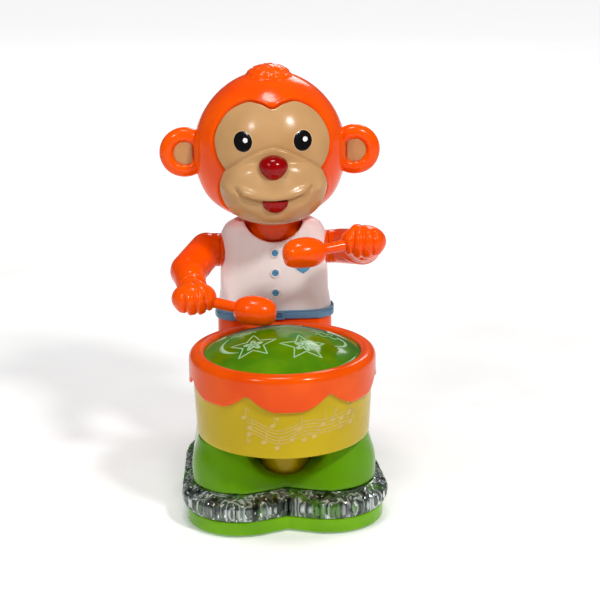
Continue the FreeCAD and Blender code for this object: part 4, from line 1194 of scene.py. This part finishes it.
def smile_height(x):
    """Height of the smile's crease at x."""
    t = (x - SMILE_LEFT[0]) / (SMILE_RIGHT[0] - SMILE_LEFT[0])
    straight = SMILE_LEFT[1] + (SMILE_RIGHT[1] - SMILE_LEFT[1]) * t
    mid = (SMILE_LEFT[1] + SMILE_RIGHT[1]) / 2
    return straight + (SMILE_DIP - mid) * (4 * t * (1 - t)) ** 0.8 if 0 < t < 1 else straight


def muzzle_edge(x):
    """Height of the muzzle's upper edge at x: over the nose in the middle, down to the pinched sides."""
    t = min(abs(x) / 24.5, 1.0)
    return 7.2 - 12.4 * t ** 1.5


def face_relief(x, z):
    """Modelled relief of the face: muzzle ledge, smile, its corners, lower lip and cheeks."""
    below = muzzle_edge(x) - z
    ledge = 2.1 * float(ease(below, -0.7, 0.9)) * float(1 - ease(below, 2.5, 13.0))
    height = ledge * (0.6 + 0.4 * float(ease(abs(x), 24.5, 16.0)))
    height -= 0.4 * float(bump(below + 1.2, 0.9))
    if SMILE_LEFT[0] - 1 < x < SMILE_RIGHT[0] + 1:
        begins = ease(x, SMILE_LEFT[0] - 1, SMILE_LEFT[0] + 4)
        ends = ease(x, SMILE_RIGHT[0] - 4, SMILE_RIGHT[0] + 1)
        fade = begins * (1 - ends)
        off = z - smile_height(x)
        height -= 1.7 * float(fade) * float(bump(off + 0.4, 1.1))
        height += 1.2 * float(fade) * float(bump(off - 2.8, 2.3))
        height -= 1.2 * float(fade) * float(bump(off + 2.6, 2.4))
    for (cx, cz), lean in ((SMILE_LEFT, -1.0), (SMILE_RIGHT, 1.0)):
        along = (z - cz) * 0.75 + (x - cx) * lean * 0.66
        away = (x - cx) * 0.75 - (z - cz) * lean * 0.66
        height -= 1.2 * float(bump(away + 0.4 * lean, 1.1)) * float(bump(along - 0.6, 2.0))
        cheek = math.hypot(x - cx - 4.2 * lean, z - cz - 0.8)
        height += 1.3 * float(bump(cheek, 3.2))
    height += 1.5 * float(bump(math.hypot(x / 2.0, z + 29.5), 4.2))
    height -= 0.8 * float(bump(math.hypot(x / 2.6, z + 25.0), 1.7))
    return height


def face_mask():
    """The face as one moulded plate with a rolled edge."""
    edge = []
    for p in OUTLINE:
        edge.append((Vector((p.x, front_y(p.x, p.y), p.y)) - CORE).normalized())
    middle = Vector((0, -1, 0))
    steps = 84
    rings = []
    for k in range(1, steps + 1):
        t = (k / steps) * 0.985
        ring = []
        for d in edge:
            direction = middle.slerp(d, t, middle)
            p = face_point(direction)
            out = (p - CORE).normalized()
            ring.append(p + out * face_relief(p.x, p.z))
        rings.append(ring)
    for share, sink in ((0.994, 0.25), (1.0, 0.8), (1.0, 1.6), (0.995, 3.4), (0.99, 5.0)):
        rings.append([face_point(middle.slerp(d, share, middle), 0.0) - (d * sink) for d in edge])
    return loft("face_mask", rings, caps="both")


HEAD_SEAM = 2.0


def skull_point(direction, lift=0.0):
    scale = 1 / math.sqrt(sum((direction[i] / HEAD_RADII[i]) ** 2 for i in range(3)))
    return direction * (scale + lift)


def head_shell():
    """The head as one skin with a stepped groove that the face sits in, open inside the groove."""
    starts = []
    for p in OUTLINE:
        inner = 1 - (p.x / HEAD_RADII[0]) ** 2 - (p.y / HEAD_RADII[2]) ** 2
        y = -HEAD_RADII[1] * math.sqrt(max(inner, 0.0))
        starts.append(Vector((p.x, y, p.y)).normalized())
    back = Vector((0, 1, 0))
    front = Vector((0, -1, 0))
    rings = []
    for share, sink in ((0.86, -3.2), (0.93, -3.0), (0.985, -2.6)):
        rings.append([skull_point(front.slerp(d, share, front), sink) for d in starts])
    offsets = [0.1, 0.35, 0.7, 1.1, 1.5, 2.0, 2.7, 3.6, 4.8]
    sinks = [-2.3, -1.5, -0.75, -0.3, -0.1, 0.08, 0.12, 0.06, 0.0]
    for off, sink in zip(offsets, sinks):
        ring = []
        for d in starts:
            whole = d.angle(back)
            ring.append(skull_point(d.slerp(back, off / 37.0 / whole, back), sink))
        rings.append(ring)
    first = offsets[-1] / 37.0
    rows = 62
    for k in range(1, rows):
        t = k / rows
        ring = []
        for d in starts:
            whole = d.angle(back)
            share = first / whole + (1 - first / whole) * t
            ring.append(skull_point(d.slerp(back, share, back)))
        rings.append(ring)
    return loft("head_skin", rings, caps="end")


def cut_at(obj, y, keep_front, gap=0.06):
    """Keeps the part of a mesh on one side of a plane across Y, as a shell."""
    bm = bmesh.new()
    bm.from_mesh(obj.data)
    side = -1 if keep_front else 1
    bmesh.ops.bisect_plane(bm, geom=bm.verts[:] + bm.edges[:] + bm.faces[:],
                           plane_co=(0, (y + side * gap) * MM, 0),
                           plane_no=(0, -side, 0), clear_outer=True)
    bm.to_mesh(obj.data)
    bm.free()
    solid = obj.modifiers.new("wall", "SOLIDIFY")
    solid.thickness = 2.2 * MM
    solid.offset = -1
    return applied(obj)


skin = head_shell()
rear = bpy.data.objects.new("head_rear", skin.data.copy())
bpy.context.scene.collection.objects.link(rear)
skin.name = "head_fore"
head_piece(cut_at(skin, HEAD_SEAM, True), ORANGE, ["head_front"])
head_piece(cut_at(rear, HEAD_SEAM, False), ORANGE, ["head_back"])
head_piece(face_mask(), TAN, ["face_plate"])


def blob(name, centre, radii, shape, rows=40, columns=56):
    """A closed skin of rings from top to bottom; shape(point on the unit ball) moves each point."""
    rings = []
    for r in range(1, rows):
        a = math.pi * r / rows
        ring = []
        for c in range(columns):
            b = 2 * math.pi * c / columns
            unit = Vector((math.sin(a) * math.cos(b), math.sin(a) * math.sin(b), math.cos(a)))
            p = shape(unit)
            ring.append(Vector(centre) + Vector((p.x * radii[0], p.y * radii[1], p.z * radii[2])))
        rings.append(ring)
    return loft(name, rings)


def nose_shape(u):
    """Rounded triangle, wider above."""
    width = 1.0 + 0.13 * u.z - 0.1 * u.z * u.z
    return Vector((u.x * width, u.y * (1 + 0.06 * u.z), u.z - 0.1 * (1 - u.x * u.x)))


def tongue_shape(u):
    """Half disc with a flat, softly rounded top and a shallow middle groove."""
    z = u.z
    if z > 0.0:
        z = 0.1 * math.tanh(z / 0.1)
    groove = 0.1 * math.exp(-(u.x / 0.18) ** 2) * max(0.0, -u.y)
    return Vector((u.x, u.y + groove, z))


head_piece(blob("nose_ball", (0, -38.6, -0.9), (7.2, 6.3, 6.4), nose_shape), RED, ["nose"])
head_piece(blob("tongue_tip", (0.6, -40.2, -18.9), (6.5, 4.2, 6.2), tongue_shape), RED, ["tongue"])


def eye(side):
    """Printed eye: pale outline, black oval and a white glint, each a thin raised layer."""
    cx, cz = side * 14.9, 10.6
    layers = (("outline", 4.95, 5.3, 0.0, 0.0, 0.06, PALE_INK),
              ("black", 4.6, 5.0, 0.0, 0.0, 0.14, BLACK_INK), ("glint", 1.2, 1.2, 1.2, 0.7, 0.2, WHITE_INK))
    parts = []
    for name, rx, rz, ox, oz, high, material in layers:
        outline = [(cx + ox + rx * math.cos(a), cz + oz + rz * math.sin(a))
                   for a in (2 * math.pi * k / 48 for k in range(48))]
        part = patch(name, outline, on_face, -0.15, high, 5)
        part.data.materials.append(material)
        parts.append(part)
    return joined(("eye_left", "eye_right")[side < 0], parts)


for side in (1, -1):
    head_piece(eye(side), None)

EAR_X, EAR_Z = 43.9, -0.5


def ear(side):
    """Thick round ear with a rolled rim round a hollow."""
    profile = [(0.02, -2.0), (3.0, -2.0), (5.4, -2.1), (6.1, -2.6), (6.5, -3.4), (7.2, -4.0), (8.2, -4.25),
               (9.4, -4.2), (11.0, -3.7), (12.2, -2.7), (12.9, -1.4), (13.1, 0.0), (12.9, 1.5), (12.2, 2.8),
               (10.9, 3.7), (9.0, 4.15), (6.0, 4.2), (3.0, 4.2), (0.02, 4.2)]
    return lathe("ear_ring", profile, (side * EAR_X, 0, EAR_Z), 96, False, "Y")


def ear_pad(side):
    """Cushioned pad in the ear's hollow, cut straight on the head's side."""
    cx = side * (EAR_X - 0.4)
    outline = []
    for k in range(64):
        a = 2 * math.pi * k / 64
        x = 6.2 * math.cos(a)
        if x < -3.6:
            x = -3.6 - 0.25 * math.tanh(-(x + 3.6))
        outline.append((cx + side * x, EAR_Z + 6.2 * math.sin(a)))
    rows = []
    for share, y in ((1.0, -1.9), (1.0, -2.5), (0.96, -2.75), (0.88, -2.9), (0.7, -3.0), (0.4, -3.05),
                     (0.15, -3.05)):
        rows.append([Vector((cx + (x - cx) * share, y, EAR_Z + (z - EAR_Z) * share)) for x, z in outline])
    return loft("pad", rows)


for side, name in ((-1, "right"), (1, "left")):
    piece = ear(side)
    piece.name = name + "_ear_ring"
    cad_name = "ear_" + name
    head_piece(piece, ORANGE, [cad_name], 0.0)
pads = joined("ear_cushions", [ear_pad(-1), ear_pad(1)])
head_piece(pads, TAN_PAD, ["ear_pads"], 0.0)


def tuft_shape(u):
    """Bun of tight curls with a rolled lip at its front foot."""
    curls = 0.02 * math.sin(15 * u.x + 4 * u.z) * math.sin(14 * u.y + 1)
    curls += 0.016 * math.sin(19 * u.z + 7 * u.x + 2)
    curls += 0.013 * math.sin(29 * u.x + 5) * math.sin(26 * u.z + 9 * u.y)
    lip = 0.12 * math.exp(-((u.z - 0.25) / 0.14) ** 2) * max(0.0, -u.y) ** 1.5
    return u * (1 + curls + lip)


head_piece(blob("hair_bun", (0, -0.5, 34.7), (12.8, 12.0, 8.4), tuft_shape, 64, 128), ORANGE, ["hair_tuft"],
           0.0)

# ---------------------------------------------------------------- finishes of the CAD parts kept as they are

CAD_FINISH = {
    "case_screws": STEEL, "base_lamp_board": BOARD, "drive_gearbox": GEAR_WHITE, "drive_motor": NICKEL,
    "switch_case": BLACK_MOULD, "circuit_board": BOARD, "speaker": CARD, "drum_lamp_board": BOARD,
    "battery_box": BLACK_MOULD, "cells": CELL, "battery_contacts": STEEL, "gear_frame": GEAR_WHITE,
    "arm_motor": NICKEL, "turntable": BLACK_MOULD, "drive_axle": STEEL, "drive_wheels": RUBBER,
    "roller_front_right": RUBBER, "roller_front_left": RUBBER, "roller_back": RUBBER,
    "switch_knob": BLACK_MOULD, "door_screw": STEEL, "motor_pinion": GEAR_WHITE,
    "reduction_gear": GEAR_WHITE, "cam_shaft": STEEL, "cam_gear": GEAR_WHITE, "right_cam": GEAR_WHITE,
    "left_cam": GEAR_WHITE, "right_lever": GEAR_WHITE, "left_lever": GEAR_WHITE, "neck_post": ORANGE,
}
for node, material in CAD_FINISH.items():
    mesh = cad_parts[node].data
    mesh.materials.clear()
    mesh.materials.append(material)

# ---------------------------------------------------------------- floor, light and camera


def stage():
    """Plain pale floor with a painted glow of its own, stronger further away."""
    n = Nodes("studio_floor")
    paper = n.noise(0.02, 3.0)
    whites = [(0.3, tone(243, 243, 243)), (0.7, tone(250, 250, 250))]
    n.feed(n.shader.inputs["Base Color"], n.ramp(paper, whites))
    n.shader.inputs["Roughness"].default_value = 0.8
    n.shader.inputs["Specular IOR Level"].default_value = 0.1
    # painted light: the floor emits its own glow, growing further away
    n.shader.inputs["Emission Color"].default_value = (1, 1, 1, 1)
    n.feed(n.shader.inputs["Emission Strength"], n.span(n.axis(1), 0.1, 1.6, 0.22, 0.8))
    across = (-6000, -2000, 2000, 6000)
    points = [Vector((x, y, 0)) for y in across for x in across]
    floor = build("floor", points, tube_faces(4, 4, ring=False))
    floor.data.materials.append(n.material)


def lamp(name, place, aim, size, power, colour=(1, 1, 1)):
    light = bpy.data.lights.new(name, "AREA")
    light.shape = "RECTANGLE"
    light.size, light.size_y = size
    light.energy = power
    light.color = colour
    obj = bpy.data.objects.new(name, light)
    bpy.context.scene.collection.objects.link(obj)
    obj.location = Vector(place)
    obj.rotation_mode = "QUATERNION"
    obj.rotation_quaternion = (Vector(aim) - Vector(place)).to_track_quat("-Z", "Y")


def surroundings():
    """Faint even light from all round."""
    world = bpy.data.worlds.new("studio")
    bpy.context.scene.world = world
    world.use_nodes = True
    soft = world.node_tree.nodes["Background"]
    soft.inputs["Color"].default_value = (1, 1, 1, 1)
    soft.inputs["Strength"].default_value = 0.1


stage()
lamp("key", (0.5, -0.8, 0.98), (0, 0, 0.12), (0.15, 0.15), 8.2, (1.0, 0.985, 0.96))
lamp("side", (-0.6, -0.75, 0.85), (0, 0, 0.12), (0.11, 0.11), 3.0)
lamp("top", (-0.05, -0.15, 1.15), (0, 0, 0.1), (0.22, 0.22), 4.0)
lamp("back", (0.35, 1.1, 0.9), (0, 0, 0.12), (0.5, 0.5), 4.5)
surroundings()
bpy.context.scene.view_settings.view_transform = "Standard"


def camera():
    """Camera in front of the toy, a little to the viewer's left and above."""
    azimuth, elevation, distance = math.radians(-3.5), math.radians(15.9), 0.883
    target = Vector((0, 0, 0.115))
    back = Vector((math.sin(azimuth) * math.cos(elevation), -math.cos(azimuth) * math.cos(elevation),
                   math.sin(elevation)))
    data = bpy.data.cameras.new("camera")
    data.sensor_width = 36.0
    data.lens = 104.4
    data.shift_x = 0.0359
    data.shift_y = -0.028
    obj = bpy.data.objects.new("camera", data)
    bpy.context.scene.collection.objects.link(obj)
    obj.location = target + back * distance
    obj.rotation_mode = "QUATERNION"
    aim = (-back).to_track_quat("-Z", "Y")
    roll = Matrix.Rotation(math.radians(-0.9), 3, "Z").to_quaternion()
    obj.rotation_quaternion = aim @ roll
    bpy.context.scene.camera = obj


camera()
